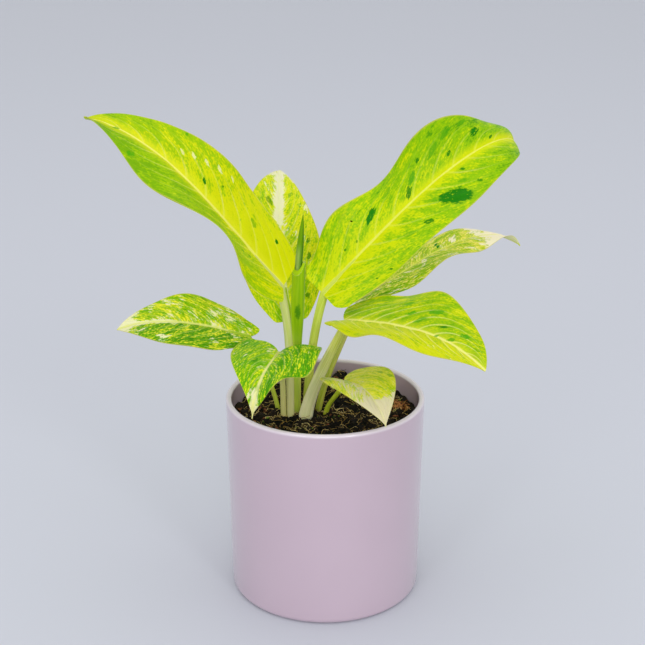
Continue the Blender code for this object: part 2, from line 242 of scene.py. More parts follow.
def mend_mesh(mesh, crease=40, weld=WELD):
    """Weld a closed mesh, point its faces outwards and shade it smooth but for its creases."""
    work = bmesh.new()
    work.from_mesh(mesh)
    bmesh.ops.remove_doubles(work, verts=work.verts, dist=weld)
    bmesh.ops.recalc_face_normals(work, faces=work.faces)
    work.to_mesh(mesh)
    work.free()
    mesh.shade_smooth()
    mesh.set_sharp_from_angle(angle=math.radians(crease))
    return mesh


def add_piece(name, mesh, slot, *nodes):
    """Stand a finished mesh in the scene as a piece of the plant, in place of the named CAD nodes."""
    piece = stand(name, mesh)
    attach(piece, "root")
    for node in nodes:
        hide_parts(node)


def srgb(red, green, blue):
    """A colour given in display values from 0 to 255, as the linear colour that shaders take."""
    shares = [channel / 255 for channel in (red, green, blue)]
    linear = [s / 12.92 if s <= 0.04045 else ((s + 0.055) / 1.055) ** 2.4 for s in shares]
    return (*linear, 1.0)


def new_material(name):
    """A material, its tree and its Principled shader."""
    material = bpy.data.materials.new(name)
    material.use_nodes = True
    return material, material.node_tree, material.node_tree.nodes["Principled BSDF"]


def spelled(named):
    """Values named with underscores, under the labels that the sockets have."""
    return {name.replace("_", " "): value for name, value in named.items()}


def dress(shader, colour, roughness, height, strength, depth, **constants):
    """Give a shader its colour and roughness, a bump from a height, and its plain constants."""
    bump = read(height.tree, "ShaderNodeBump", {"Strength": strength, "Distance": depth, "Height": height})
    fill(shader, {"Base Color": colour, "Roughness": roughness, "Normal": bump, **spelled(constants)})


def arc(centre, radius, start, end, steps):
    """Points of a circular arc in the profile's plane, angles in degrees."""
    angles = np.radians(np.linspace(start, end, steps + 1))
    return [(centre[0] + radius * math.cos(a), centre[1] + radius * math.sin(a)) for a in angles]


def wall_radius(height):
    """The pot's outer radius: the wall leans out a little from foot to rim."""
    return POT_FOOT_RADIUS + (POT_RIM_RADIUS - POT_FOOT_RADIUS) * height / POT_HEIGHT


def inner_radius(height):
    return wall_radius(height) - POT_WALL


INNER_CORNER = (inner_radius(POT_FLOOR) - POT_INNER_ROUNDING, POT_FLOOR + POT_INNER_ROUNDING)


def wall_run(radius_at, low, high):
    """Points straight along a wall between two heights, without its ends."""
    return [(radius_at(height), height) for height in np.linspace(low, high, WALL_POINTS)[1:-1]]


def pot_profile():
    """The wall of clay from the middle of the floor, over the lip and down to the middle of the foot."""
    lip = POT_WALL / 2
    lip_height = POT_HEIGHT - lip
    foot_corner = (wall_radius(0) - POT_FOOT_ROUNDING, POT_FOOT_ROUNDING)
    return [(0.0, POT_FLOOR), (INNER_CORNER[0] / 2, POT_FLOOR),
            *arc(INNER_CORNER, POT_INNER_ROUNDING, -90, 0, 8),
            *wall_run(inner_radius, INNER_CORNER[1], lip_height),
            *arc((wall_radius(POT_HEIGHT) - lip, lip_height), lip, 180, 0, 16),
            *wall_run(wall_radius, lip_height, foot_corner[1]),
            *arc(foot_corner, POT_FOOT_ROUNDING, 0, -90, 10),
            (foot_corner[0] / 2, 0.0), (0.0, 0.0)]


def make_wheel():
    """A tree that turns a profile about the pot's axis: a grid of profile points by steps round."""
    tree, given = new_shape_tree("turned_wall", ["Profile Points", "Steps Round"], ["Weld Distance"])
    grid = read(tree, "GeometryNodeMeshGrid", {
        "Size X": 1.0, "Size Y": 1.0, "Vertices X": given["Steps Round"] + 1,
        "Vertices Y": given["Profile Points"]})
    place = read(tree, "GeometryNodeInputPosition")
    across, along, _ = split(place)
    index = reckon("ROUND", (along + 0.5) * (given["Profile Points"] - 1))
    profile_point = read(tree, "GeometryNodeSampleIndex", {
        "Geometry": given["Geometry"], "Value": place, "Index": index}, data_type="FLOAT_VECTOR")
    spun = read(tree, "ShaderNodeVectorRotate", {
        "Vector": profile_point, "Angle": (across + 0.5) * FULL_TURN}, rotation_type="Z_AXIS")
    wall = read(tree, "GeometryNodeSetPosition", {"Geometry": grid, "Position": spun})
    return finish_shape(given, read(tree, "GeometryNodeMergeByDistance", {
        "Geometry": wall, "Distance": given["Weld Distance"]}))


def make_glaze():
    """Lilac-pink glaze: a touch of cloudiness, a paler lip that is partly thinner glaze and partly a
    painted highlight, and the faint dimpling of a dipped coat.
    """
    material, tree, shader = new_material("lilac_glaze")
    place = read(tree, "ShaderNodeTexCoord", output="Object")
    pooled = step_up(cloud(place, GLAZE_CLOUDS, 2.0), 0.2, 0.8)
    # The pale band along the lip is partly thinner glaze and partly a painted highlight.
    thin = step_up(split(place)[2], *(POT_HEIGHT - fade for fade in LIP_FADE))
    colour = tint(thin * 0.8, tint(pooled, srgb(*GLAZE), srgb(*GLAZE_POOLED)), srgb(*GLAZE_THIN_AND_HIGHLIGHT))
    dress(shader, colour, roughness=0.3, height=cloud(place, GLAZE_DIMPLES, 2.0), strength=0.06,
          depth=0.0004, IOR=1.5, Coat_Weight=1.0, Coat_Roughness=0.05)
    return material


profile = pot_profile()
profile_mesh = make_mesh("pot_profile", [(r, 0.0, z) for r, z in profile],
                         [(i, i + 1) for i in range(len(profile) - 1)])
pot_mesh = grow_mesh("glazed_pot", profile_mesh, make_wheel(), {
    "Profile Points": len(profile), "Steps Round": POT_STEPS, "Weld Distance": WELD}, make_glaze())
add_piece("glazed_pot", mend_mesh(pot_mesh), "pot", "pot")

# ------------------------------------------------------------------------------------------------
# The soil. Damp peat potting mix, nearly black, with brown fibres, bark and a few flecks of green
# lying on top. It fills the pot to about 14 mm below the lip, with a clump left against the back and
# a tuft of brown roots at the right.
GAP = 0.0003
SOIL_LEVEL = 0.121
SOIL_RELIEF = 0.0016
SOIL_CLOD_SIZE = 0.011
SOIL_WAVES = ((0.95, 0.30, 0.6), (-0.40, 0.90, 0.6), (0.55, -0.75, 0.4))
SOIL_CLUMP = (0.012, 0.052)
SOIL_CLUMP_HEIGHT = 0.009
SOIL_CLUMP_RADIUS = 0.007
SOIL_RINGS = 70
SOIL_STEPS = 200
CRUMB_HEIGHT = 0.0016
CRUMB_GRAIN = 260
CRUMB_ROUGHNESS = (0.7, 2.1, 4)
EARTH_GRAIN = 700.0
BARE_RIM = 0.004
STRAND_POINTS = 8
STRAND_SIDES = 4
ROUGHENING_GRAIN, SWAY_GRAIN = 900.0, 210.0
CRUMB_STRETCH = ((0.6, 0.6, 0.6), (1.3, 1.0, 1.0))
CRUMB_TURN = ((-0.6, -0.6, 0.0), (0.6, 0.6, 6.28))


def soil_height(x, y):
    """The soil's surface: the clods of the CAD solid with finer crumbs on them."""
    turn = FULL_TURN / SOIL_CLOD_SIZE
    clods = sum(share * math.sin(turn * (along * x + across * y)) for along, across, share in SOIL_WAVES)
    far = math.dist((x, y), SOIL_CLUMP) / SOIL_CLUMP_RADIUS
    crumbs = noise.fractal(Vector((x, y, 0.0)) * CRUMB_GRAIN, *CRUMB_ROUGHNESS)
    return SOIL_LEVEL + SOIL_RELIEF * clods + SOIL_CLUMP_HEIGHT * math.exp(-far ** 2) + CRUMB_HEIGHT * crumbs


def make_soil_mesh():
    """A closed plug: rings over the crumbly top, then down the wall and in to the middle of the floor."""
    rim = inner_radius(SOIL_LEVEL) - GAP
    rings = [(rim * i / SOIL_RINGS, None) for i in range(1, SOIL_RINGS + 1)]
    rings += arc(INNER_CORNER, POT_INNER_ROUNDING - GAP, 0, -90, 6)
    points = [(0.0, 0.0, soil_height(0.0, 0.0))]
    for radius, height in rings:
        for turn in np.linspace(0, FULL_TURN, SOIL_STEPS, endpoint=False):
            x, y = radius * math.cos(turn), radius * math.sin(turn)
            points.append((x, y, soil_height(x, y) if height is None else height))
    points.append((0.0, 0.0, POT_FLOOR + GAP))
    starts = [1 + ring * SOIL_STEPS for ring in range(len(rings))]
    faces = []
    for step in range(SOIL_STEPS):
        after = (step + 1) % SOIL_STEPS
        faces.append((0, 1 + step, 1 + after))
        faces += [(near + step, far + step, far + after, near + after)
                  for near, far in zip(starts, starts[1:])]
        faces.append((len(points) - 1, starts[-1] + after, starts[-1] + step))
    return mend_mesh(make_mesh("soil_surface", points, (), faces), crease=60)


def make_earth(name, dark, light):
    """Peat, bark or fibre: two browns in patches, rough and matte, with a grainy face."""
    material, tree, shader = new_material(name)
    place = read(tree, "ShaderNodeTexCoord", output="Object")
    grain = cloud(place, EARTH_GRAIN, 4.0)
    share = step_up(grain + cloud(place, EARTH_GRAIN / 8, 2.0), 0.85, 1.2)
    dress(shader, tint(share, srgb(*dark), srgb(*light)), roughness=0.95, height=grain, strength=0.6,
          depth=0.0006, Specular_IOR_Level=0.2)
    return material


def vectors(operation, *values, output=0, **named):
    """The result of a Vector Math node."""
    inputs = {**dict(enumerate(values)), **named}
    return read(home(*values), "ShaderNodeVectorMath", inputs, output, operation=operation)


def join(*parts):
    """The vector with the given parts."""
    return read(home(*parts), "ShaderNodeCombineXYZ", dict(enumerate(parts)))


def strewn_tree(name, *measures):
    """A tree for loose matter on the soil: its random places on the open top, round a centre and away
    from the pot's wall. What lies there depends on the tree's own measures."""
    tree, given = new_shape_tree(name, ["Seed"], [
        "Pieces per Square Metre", "Strewn Radius", "Centre X", "Centre Y", "Smallest", "Largest", *measures])
    x, y, z = split(read(tree, "GeometryNodeInputPosition"))
    reach = vectors("LENGTH", join(x - given["Centre X"], y - given["Centre Y"]), output="Value")
    inside = reckon("LESS_THAN", reach, given["Strewn Radius"])
    above = reckon("GREATER_THAN", z, SOIL_LEVEL - 0.01)
    places = read(tree, "GeometryNodeDistributePointsOnFaces", {
        "Mesh": given["Geometry"], "Selection": inside * above, "Density": given["Pieces per Square Metre"],
        "Seed": given["Seed"]})
    return tree, given, places


def any_size(tree, low, high, seed):
    """A random size for each piece."""
    return read(tree, "FunctionNodeRandomValue", {2: low, 3: high, "Seed": seed}, 1, data_type="FLOAT")


def any_vector(tree, low, high, seed):
    """A random vector for each piece, such as its turn or its proportions."""
    return read(tree, "FunctionNodeRandomValue", {0: low, 1: high, "Seed": seed}, data_type="FLOAT_VECTOR")


def lay_out(places, thing, turn, scale, grain, middle, amount):
    """Copies of a thing at the places, turned and scaled, and then knocked out of shape by noise."""
    tree = places.tree
    laid = read(tree, "GeometryNodeInstanceOnPoints", {
        "Points": places, "Instance": thing, "Rotation": turn, "Scale": scale})
    real = read(tree, "GeometryNodeRealizeInstances", {"Geometry": laid})
    knock = cloud(read(tree, "GeometryNodeInputPosition"), grain, 1.0, output="Color")
    push = vectors("SCALE", vectors("SUBTRACT", knock, middle), Scale=amount)
    return read(tree, "GeometryNodeSetPosition", {"Geometry": real, "Offset": push})


def make_crumb_tree():
    """Crumbs and bark chips: small faceted lumps, squashed, turned at random and roughened."""
    tree, given, places = strewn_tree("strewn_crumbs", "Flatness", "Roughening")
    lump = read(tree, "GeometryNodeMeshIcoSphere", {"Radius": 1.0, "Subdivisions": 1})
    stretch = any_vector(tree, *CRUMB_STRETCH, seed=2)
    shape = vectors("MULTIPLY", stretch, join(1.0, 1.0, given["Flatness"]))
    scale = vectors("SCALE", shape, Scale=any_size(tree, given["Smallest"], given["Largest"], seed=1))
    turn = any_vector(tree, *CRUMB_TURN, seed=3)
    return finish_shape(given, lay_out(places, lump, turn, scale, ROUGHENING_GRAIN, (0.5, 0.5, 0.5),
                                       given["Roughening"]))


def make_fibre_tree():
    """Fibres and rootlets: thin strands laid on the soil, tilted at random and bent out of line."""
    tree, given, places = strewn_tree("strewn_fibres", "Thickness", "Curl", "Tilt")
    line = read(tree, "GeometryNodeCurvePrimitiveLine", {"Start": (-0.5, 0.0, 0.0), "End": (0.5, 0.0, 0.0)})
    strand = read(tree, "GeometryNodeResampleCurve", {"Curve": line, "Count": STRAND_POINTS})
    size = any_size(tree, given["Smallest"], given["Largest"], seed=4)
    turn = any_vector(tree, join(0.0, given["Tilt"] * -1, 0.0), join(0.0, given["Tilt"], FULL_TURN), seed=5)
    bent = lay_out(places, strand, turn, size, SWAY_GRAIN, (0.5, 0.5, 0.42), given["Curl"])
    section = read(tree, "GeometryNodeCurvePrimitiveCircle", {
        "Resolution": STRAND_SIDES, "Radius": given["Thickness"]})
    return finish_shape(given, read(tree, "GeometryNodeCurveToMesh", {
        "Curve": bent, "Profile Curve": section, "Fill Caps": True}))


# Loose matter: its material, darker and lighter colour, then pieces per square metre, least and
# greatest size, seed, and a crumb's flatness and roughening or a fibre's thickness, curl and tilt.
CRUMB_LABELS = ("Pieces per Square Metre", "Smallest", "Largest", "Seed", "Flatness", "Roughening")
FIBRE_LABELS = (*CRUMB_LABELS[:4], "Thickness", "Curl", "Tilt")
STREWN = {
    "peat_crumbs": ("dark_crumb", (8, 8, 6), (40, 32, 22), 60000.0, 0.0005, 0.0018, 3, 0.8, 0.0012),
    "bark_chips": ("red_bark", (60, 34, 20), (156, 100, 64), 7500.0, 0.0008, 0.0028, 8, 0.4, 0.0015),
    "green_flecks": ("moss_fleck", (34, 66, 18), (140, 170, 50), 8000.0, 0.0004, 0.0012, 21, 0.5, 0.0008),
    "dark_fibres": ("dark_fibre", (34, 28, 18), (112, 84, 46),
                    40000.0, 0.003, 0.010, 5, 0.00014, 0.0065, 0.45),
    "tan_fibres": ("tan_fibre", (168, 134, 62), (255, 232, 158),
                   56000.0, 0.002, 0.008, 11, 0.00012, 0.0075, 0.45),
    "root_wisps": ("brown_root", (150, 86, 44), (246, 178, 112),
                   620000.0, 0.003, 0.009, 2, 0.00015, 0.0085, 1.2),
}
WHOLE_TOP = {"Strewn Radius": inner_radius(SOIL_LEVEL) - BARE_RIM}
ROOT_TUFT = {"Strewn Radius": 0.006, "Centre X": 0.0495, "Centre Y": 0.0095}

soil_mesh = make_soil_mesh()
soil_mesh.materials.append(make_earth("damp_peat", (8, 8, 5), (38, 31, 20)))
add_piece("soil_surface", soil_mesh, "soil", "soil")
crumb_tree, fibre_tree = make_crumb_tree(), make_fibre_tree()
for name, (material_name, dark, light, *measures) in STREWN.items():
    crumbs = len(measures) == len(CRUMB_LABELS)
    values = dict(zip(CRUMB_LABELS if crumbs else FIBRE_LABELS, measures))
    values.update(ROOT_TUFT if name == "root_wisps" else WHOLE_TOP)
    strewn_mesh = grow_mesh(name, soil_mesh, crumb_tree if crumbs else fibre_tree, values,
                            make_earth(material_name, dark, light))
    add_piece(name, strewn_mesh, "soil")

# ------------------------------------------------------------------------------------------------
# The stem and its top sheath, grown in one piece: a juicy green rod that swells where the sheath
# wraps the new leaf and opens there at a slanting mouth. Fine ribs run along it.
UPRIGHT = np.array([0.0, 0.0, 1.0])
TO_VIEWER = (0.0, -1.0, 0.0)
STEM_DEPTH = 0.045
STEM_FOOT = (-0.0195, 0.0025)
STEM_MOUTH = (-0.0168, 0.0080, 0.2230)
STEM_RADIUS = 0.0034
STEM_FOOT_HANDLE = 0.35
STEM_MOUTH_HANDLE = 0.3
SHEATH_RADIUS = 0.0043
SHEATH_START = 0.4
SHEATH_SWELL = 0.3
SHEATH_SLOPE = 58
SHEATH_TURN = -28
SLOPE_CUTTER = 0.04
SPEAR_TIP = (-0.0140, 0.0085, 0.2540)
SPEAR_SEAT_DEPTH = 0.024
SPEAR_RADIUS = 0.0024
SPEAR_HANDLES = (0.4, 0.3)
SPEAR_TAPER = (0.85, 0.95, 1.0, 1.0, 0.95, 0.82, 0.62, 0.38, 0.12)
ROD_POINTS = 60
PLAIN_ROD = {"Sides": 32, "Channel Depth": 0.0, "Channel Width": 1.0, "Rib Depth": 0.0, "Rib Count": 1.0,
             "Lap": 0.0, "Twist": 0.0}
SKIN_COLOURS = ("Low", "High", "Line", "Stripe")
SKIN_SHARES = {"Low End": 0.03, "High End": 0.09, "Line Share": 0.5, "Stripe Share": 0.0, "Stripe Side": 0.0,
               "Seed": 0.0}
STEM_PATCH = (82, 142, 6)
STEM_PATCHES = [(0.1155, 0.05, 0.0058, 0.5)]
SHEATH_LINING = (172, 208, 20)
SOFT_FLESH = (0.0016, 0.0022, 0.0005)
STRIPE_GRAIN, LINE_GRAIN, PATCH_GRAIN = (0.6, 0.02), (0.11, 0.03), (0.25, 0.0012)
PATCH_SEED, PATCH_TEARING = 3.0, 1.6


def unit(vector):
    return vector / np.linalg.norm(vector)


def bezier(ends, steps):
    """Points along a cubic curve given by its four control points."""
    a, b, c, d = [np.array(p, float) for p in ends]
    t = np.linspace(0, 1, steps)[:, None]
    return (1 - t) ** 3 * a + 3 * t * (1 - t) ** 2 * b + 3 * t ** 2 * (1 - t) * c + t ** 3 * d


def store_vectors(mesh, name, values):
    """Keep a vector on each of a mesh's points."""
    mesh.attributes.new(name, "FLOAT_VECTOR", "POINT").data.foreach_set("vector", values.ravel())


def path_mesh(name, points, radii, facing):
    """A path for the rod tree: its points, the radius at each and the side its channel faces."""
    mesh = make_mesh(name, points, [(i, i + 1) for i in range(len(points) - 1)])
    mesh.attributes.new("thickness", "FLOAT", "POINT").data.foreach_set("value", np.array(radii, float))
    store_vectors(mesh, "facing", np.broadcast_to(facing, (len(points), 3)).astype(float))
    return mesh


def named_value(tree, name, kind="FLOAT"):
    return read(tree, "GeometryNodeInputNamedAttribute", {"Name": name}, data_type=kind)


def store_value(geometry, name, value):
    return read(geometry.tree, "GeometryNodeStoreNamedAttribute", {
        "Geometry": geometry, "Name": name, "Value": value}, data_type="FLOAT", domain="POINT")


def make_rod_tree():
    """A tree that runs a section along a path, as thick as the path says. The section is a circle
    with fine ribs, a channel on the side that faces the plant, or the lapped edge of a rolled leaf."""
    tree, given = new_shape_tree("plant_rod", ["Sides"], [
        "Channel Depth", "Channel Width", "Rib Depth", "Rib Count", "Lap", "Twist"])
    line = read(tree, "GeometryNodeMeshToCurve", {"Mesh": given["Geometry"]})
    faced = read(tree, "GeometryNodeSetCurveNormal", {
        "Curve": line, "Normal": named_value(tree, "facing", "FLOAT_VECTOR")}, mode="FREE")
    factor, length, _ = read_all(tree, "GeometryNodeSplineParameter")
    wound = read(tree, "GeometryNodeSetCurveTilt", {"Curve": faced, "Tilt": factor * given["Twist"]})
    circle = read(tree, "GeometryNodeCurvePrimitiveCircle", {"Resolution": given["Sides"], "Radius": 1.0})
    place = read(tree, "GeometryNodeInputPosition")
    x, y, _ = split(place)
    angle = reckon("ARCTAN2", y, x)
    from_channel = reckon("POWER", abs(angle / given["Channel Width"]), 2.0)
    hollow = reckon("EXPONENT", from_channel * -1) * given["Channel Depth"]
    ribs = reckon("COSINE", angle * given["Rib Count"]) * given["Rib Depth"]
    reach = ribs + 1 - hollow - (angle + math.pi) / FULL_TURN * given["Lap"]
    section = read(tree, "GeometryNodeSetPosition", {
        "Geometry": store_value(circle, "around", angle), "Position": vectors("SCALE", place, Scale=reach)})
    return finish_shape(given, read(tree, "GeometryNodeCurveToMesh", {
        "Curve": store_value(wound, "along", length), "Profile Curve": section,
        "Scale": named_value(tree, "thickness"), "Fill Caps": True}))


def joined_mesh(name, first, second, operation="UNION"):
    """The Boolean of two closed meshes as one plain mesh, with the materials and values of both."""
    holders = [stand(name + "_" + mesh.name, mesh) for mesh in (first, second)]
    boolean = holders[0].modifiers.new("join", "BOOLEAN")
    boolean.operation = operation
    boolean.object = holders[1]
    boolean.solver = "MANIFOLD"
    boolean.material_mode = "TRANSFER"
    return bake(name, *holders)


def stored(tree, name, output="Fac"):
    """What a material reads from a value stored on its own piece."""
    return read(tree, "ShaderNodeAttribute", output=output, attribute_name=name)


def streaks(across, along, fine, long, seed, detail=2.0):
    """Noise drawn out along a direction: fine is its grain across and long its grain along."""
    return cloud(join(across / fine, along / long, 0.5), 1.0, detail, seed=seed)


def make_stalk_skin():
    """The skin of stem and stalks: from its colour at the soil to its colour above, with fine pale
    and green lines along it and a broad soft green stripe."""
    tree, given = new_tree("stalk_skin", "ShaderNodeTree", {
        "Color": SKIN_COLOURS, "Float": ("Along", "Around", *SKIN_SHARES)}, {
        "Color": ["Colour"], "Float": ["Height", "Roughness"]})
    along, around, seed = given["Along"], given["Around"], given["Seed"]
    body = tint(step_up(along, given["Low End"], given["High End"]), given["Low"], given["High"])
    bend = reckon("COSINE", around - given["Stripe Side"])
    striped = step_up(bend + streaks(around, along, *STRIPE_GRAIN, seed), 0.9, 1.5)
    body = tint(striped * given["Stripe Share"], body, given["Stripe"])
    lines = streaks(around, along, *LINE_GRAIN, seed, detail=3.0)
    colour = tint(step_up(lines, 0.42, 0.66) * given["Line Share"], body, given["Line"])
    put(tree, "NodeGroupOutput", {"Colour": colour, "Height": lines, "Roughness": lines * 0.16 + 0.30})
    return tree


stalk_skin, rod_tree = make_stalk_skin(), make_rod_tree()


def dress_flesh(shader, colour, roughness, height, strength, softness):
    """Leaf and stalk: light soaks a little way into them, and their skin shines only a little."""
    dress(shader, colour, roughness, height, strength, depth=0.0003, Specular_IOR_Level=0.08,
          Subsurface_Weight=softness, Subsurface_Radius=SOFT_FLESH, Subsurface_Scale=1.0)


def make_stalk_material(name, colours, shares, patches=()):
    """A stalk's material: the skin, and soft dark patches given by height along, angle and size."""
    material, tree, shader = new_material(name)
    along, around = stored(tree, "along"), stored(tree, "around")
    tints = {label: srgb(*colour) for label, colour in zip(SKIN_COLOURS, colours)}
    colour, height, roughness = read_all(tree, "ShaderNodeGroup", {
        "Along": along, "Around": around, **tints, **SKIN_SHARES, **shares}, node_tree=stalk_skin)
    for level, side, tall, wide in patches:
        up, turn = (along - level) / tall, (around - side) / wide
        far = up * up + turn * turn + streaks(around, along, *PATCH_GRAIN, PATCH_SEED) * PATCH_TEARING
        colour = tint(1 - step_up(far, 0.9, 2.0), colour, srgb(*STEM_PATCH))
    dress_flesh(shader, colour, roughness, height, strength=0.25, softness=0.15)
    return material


def stem_path(points=ROD_POINTS):
    """The stem's line from deep in the soil to the mouth of its top sheath."""
    foot = np.array([*STEM_FOOT, SOIL_LEVEL])
    mouth = np.array(STEM_MOUTH)
    rise = mouth - foot
    above_foot = foot + STEM_FOOT_HANDLE * np.linalg.norm(rise) * UPRIGHT
    ends = (foot, above_foot, mouth - STEM_MOUTH_HANDLE * rise, mouth)
    return np.vstack([[foot - STEM_DEPTH * UPRIGHT], bezier(ends, points)])


def stem_radii():
    """Slender above the soil, swelling where the sheath wraps the new leaf."""
    share = np.linspace(0, 1, ROD_POINTS)
    swell = np.clip((share - SHEATH_START) / SHEATH_SWELL, 0, 1)
    return [STEM_RADIUS, *(STEM_RADIUS + (SHEATH_RADIUS - STEM_RADIUS) * swell * swell * (3 - 2 * swell))]


def spear_path():
    """The rolled leaf's line: up through the sheath from its seat, then to the tip."""
    sheath = stem_path(12)
    mouth = sheath[-1]
    seat = mouth - SPEAR_SEAT_DEPTH * unit(mouth - sheath[-3])
    rise = np.array(SPEAR_TIP) - mouth
    ends = (mouth, mouth + rise * SPEAR_HANDLES[0], SPEAR_TIP - rise * SPEAR_HANDLES[1], SPEAR_TIP)
    return np.vstack([[seat], [(seat + mouth) / 2], bezier(ends, len(SPEAR_TAPER) - 2)])


def finer(points, radii, count):
    """A path and its radii resampled evenly by length."""
    points = np.array(points, float)
    reached = np.concatenate([[0.0], np.cumsum(np.linalg.norm(np.diff(points, axis=0), axis=1))])
    wanted = np.linspace(0, reached[-1], count)
    placed = np.column_stack([np.interp(wanted, reached, points[:, k]) for k in range(3)])
    return placed, np.interp(wanted, reached, radii)


def grow_rod(name, points, radii, facing, material, **changes):
    """A rod along a path: plain and round, but for the changes."""
    path = path_mesh(name + "_path", points, radii, facing)
    return grow_mesh(name, path, rod_tree, {**PLAIN_ROD, **spelled(changes)}, material)


def make_stem_mesh(skin, lining):
    """The rod, bored for the new leaf and cut off at a slant where the sheath opens."""
    rod = grow_rod("stem_rod", stem_path(), stem_radii(), TO_VIEWER, skin,
                   Sides=72, Rib_Depth=0.004, Rib_Count=18.0)
    points = spear_path()
    points[0] = points[0] - GAP * UPRIGHT
    radii = [SPEAR_RADIUS * share + GAP for share in SPEAR_TAPER]
    bore = grow_rod("bore", *finer(points, radii, 30), TO_VIEWER, lining)
    bored = joined_mesh("bored_stem", rod, bore, "DIFFERENCE")
    work = bmesh.new()
    bmesh.ops.create_cube(work, size=SLOPE_CUTTER)
    bmesh.ops.translate(work, verts=work.verts, vec=(0.0, 0.0, SLOPE_CUTTER / 2))
    cutter = bpy.data.meshes.new("slope")
    work.to_mesh(cutter)
    work.free()
    cutter.materials.append(lining)
    slant = Euler((math.radians(SHEATH_SLOPE), 0.0, math.radians(SHEATH_TURN))).to_matrix().to_4x4()
    cutter.transform(Matrix.Translation(STEM_MOUTH) @ slant)
    return mend_mesh(joined_mesh("green_stem", bored, cutter, "DIFFERENCE"))


stem_material = make_stalk_material(
    "stem_skin", ((244, 240, 130), (162, 200, 4), (192, 216, 40), (112, 166, 4)), {
        "Low End": 0.060, "High End": 0.110, "Line Share": 0.35, "Stripe Share": 0.6, "Stripe Side": 0.4,
        "Seed": 4.0}, STEM_PATCHES)
lining_material = make_stalk_material("sheath_lining", [SHEATH_LINING] * 4, {"Line Share": 0.0})
add_piece("green_stem", make_stem_mesh(stem_material, lining_material), "stem", "stem")

# ------------------------------------------------------------------------------------------------
# The new leaf. Still rolled up on itself in a tight spear, a darker green than the open leaves, with
# its outer edge lapping round it. It stands in the mouth of the stem's sheath.
# The rolled leaf's pale grey-green foot, just above the sheath's mouth, is a painted highlight.
spear_material = make_stalk_material(
    "rolled_leaf", ((160, 188, 90), (106, 152, 2), (142, 180, 10), (54, 114, 2)), {
        "Low End": 0.026, "High End": 0.038, "Line Share": 0.3, "Stripe Share": 1.0, "Stripe Side": 0.1,
        "Seed": 9.0})
spear_line = finer(spear_path(), [SPEAR_RADIUS * share for share in SPEAR_TAPER], 50)
spear_mesh = grow_rod("rolled_new_leaf", *spear_line, TO_VIEWER, spear_material,
                      Sides=64, Rib_Depth=0.01, Rib_Count=15.0, Lap=0.16, Twist=1.6)
add_piece("rolled_new_leaf", mend_mesh(spear_mesh), "new_leaf", "new_leaf")

# ------------------------------------------------------------------------------------------------
# The leaves. Each is one grown piece: a thin blade, its midrib, and the stalk that runs down into the
# soil beside the stem. The blades are lime, with green and cream streaks that follow the side veins.
ROOTED_DEPTH = 0.022
UPRIGHT_AT_FOOT = 1.2
UPRIGHT_AT_BLADE = 1.6
FOOT_HANDLE = 0.3
BLADE_HANDLE = 0.35
STALK_SEAT = 0.85
STALK_POINTS = 64
RUNOUT_SEAT = 0.75
RUNOUT_POINTS = 14
RUNOUT_SHARE = 8 / 48
RUNOUT_END = 16 / 48
RUNOUT_THIN = 0.25
BLADE_EDGE = 0.00055
EDGE_THINNING = 0.35
BLADE_COLUMNS = 48
BLADE_ROW_SPACING = 0.0012
BLADE_MIN_ROWS = 72
BLADE_TIP_HALF = 0.0003
COLUMN_CROWDING = 1.3
MIDRIB_STEPS = 192
TWIST_POWER = 1.5
LOBE_SIDE = 0.6
BASE_FADE = 3
RIB_WIDTH = 0.004
CHANNEL_DEPTH, CHANNEL_WIDTH = 0.0007, 0.0013
FURROW_DEPTH, FURROW_WIDTH = 0.00022, 0.0011
PUFF_HEIGHT = 0.00012
UNEVENNESS = 0.0006
VEIN_LEAN = 0.66
VEIN_BEND = 1.45
VEIN_STAGGER = 0.37
VEIN_FADES = (0.08, 0.3, 0.05, 0.15)
UNEVEN_GRAIN = (60, 1.3, 7.1)
UNEVEN_TIP = 0.1

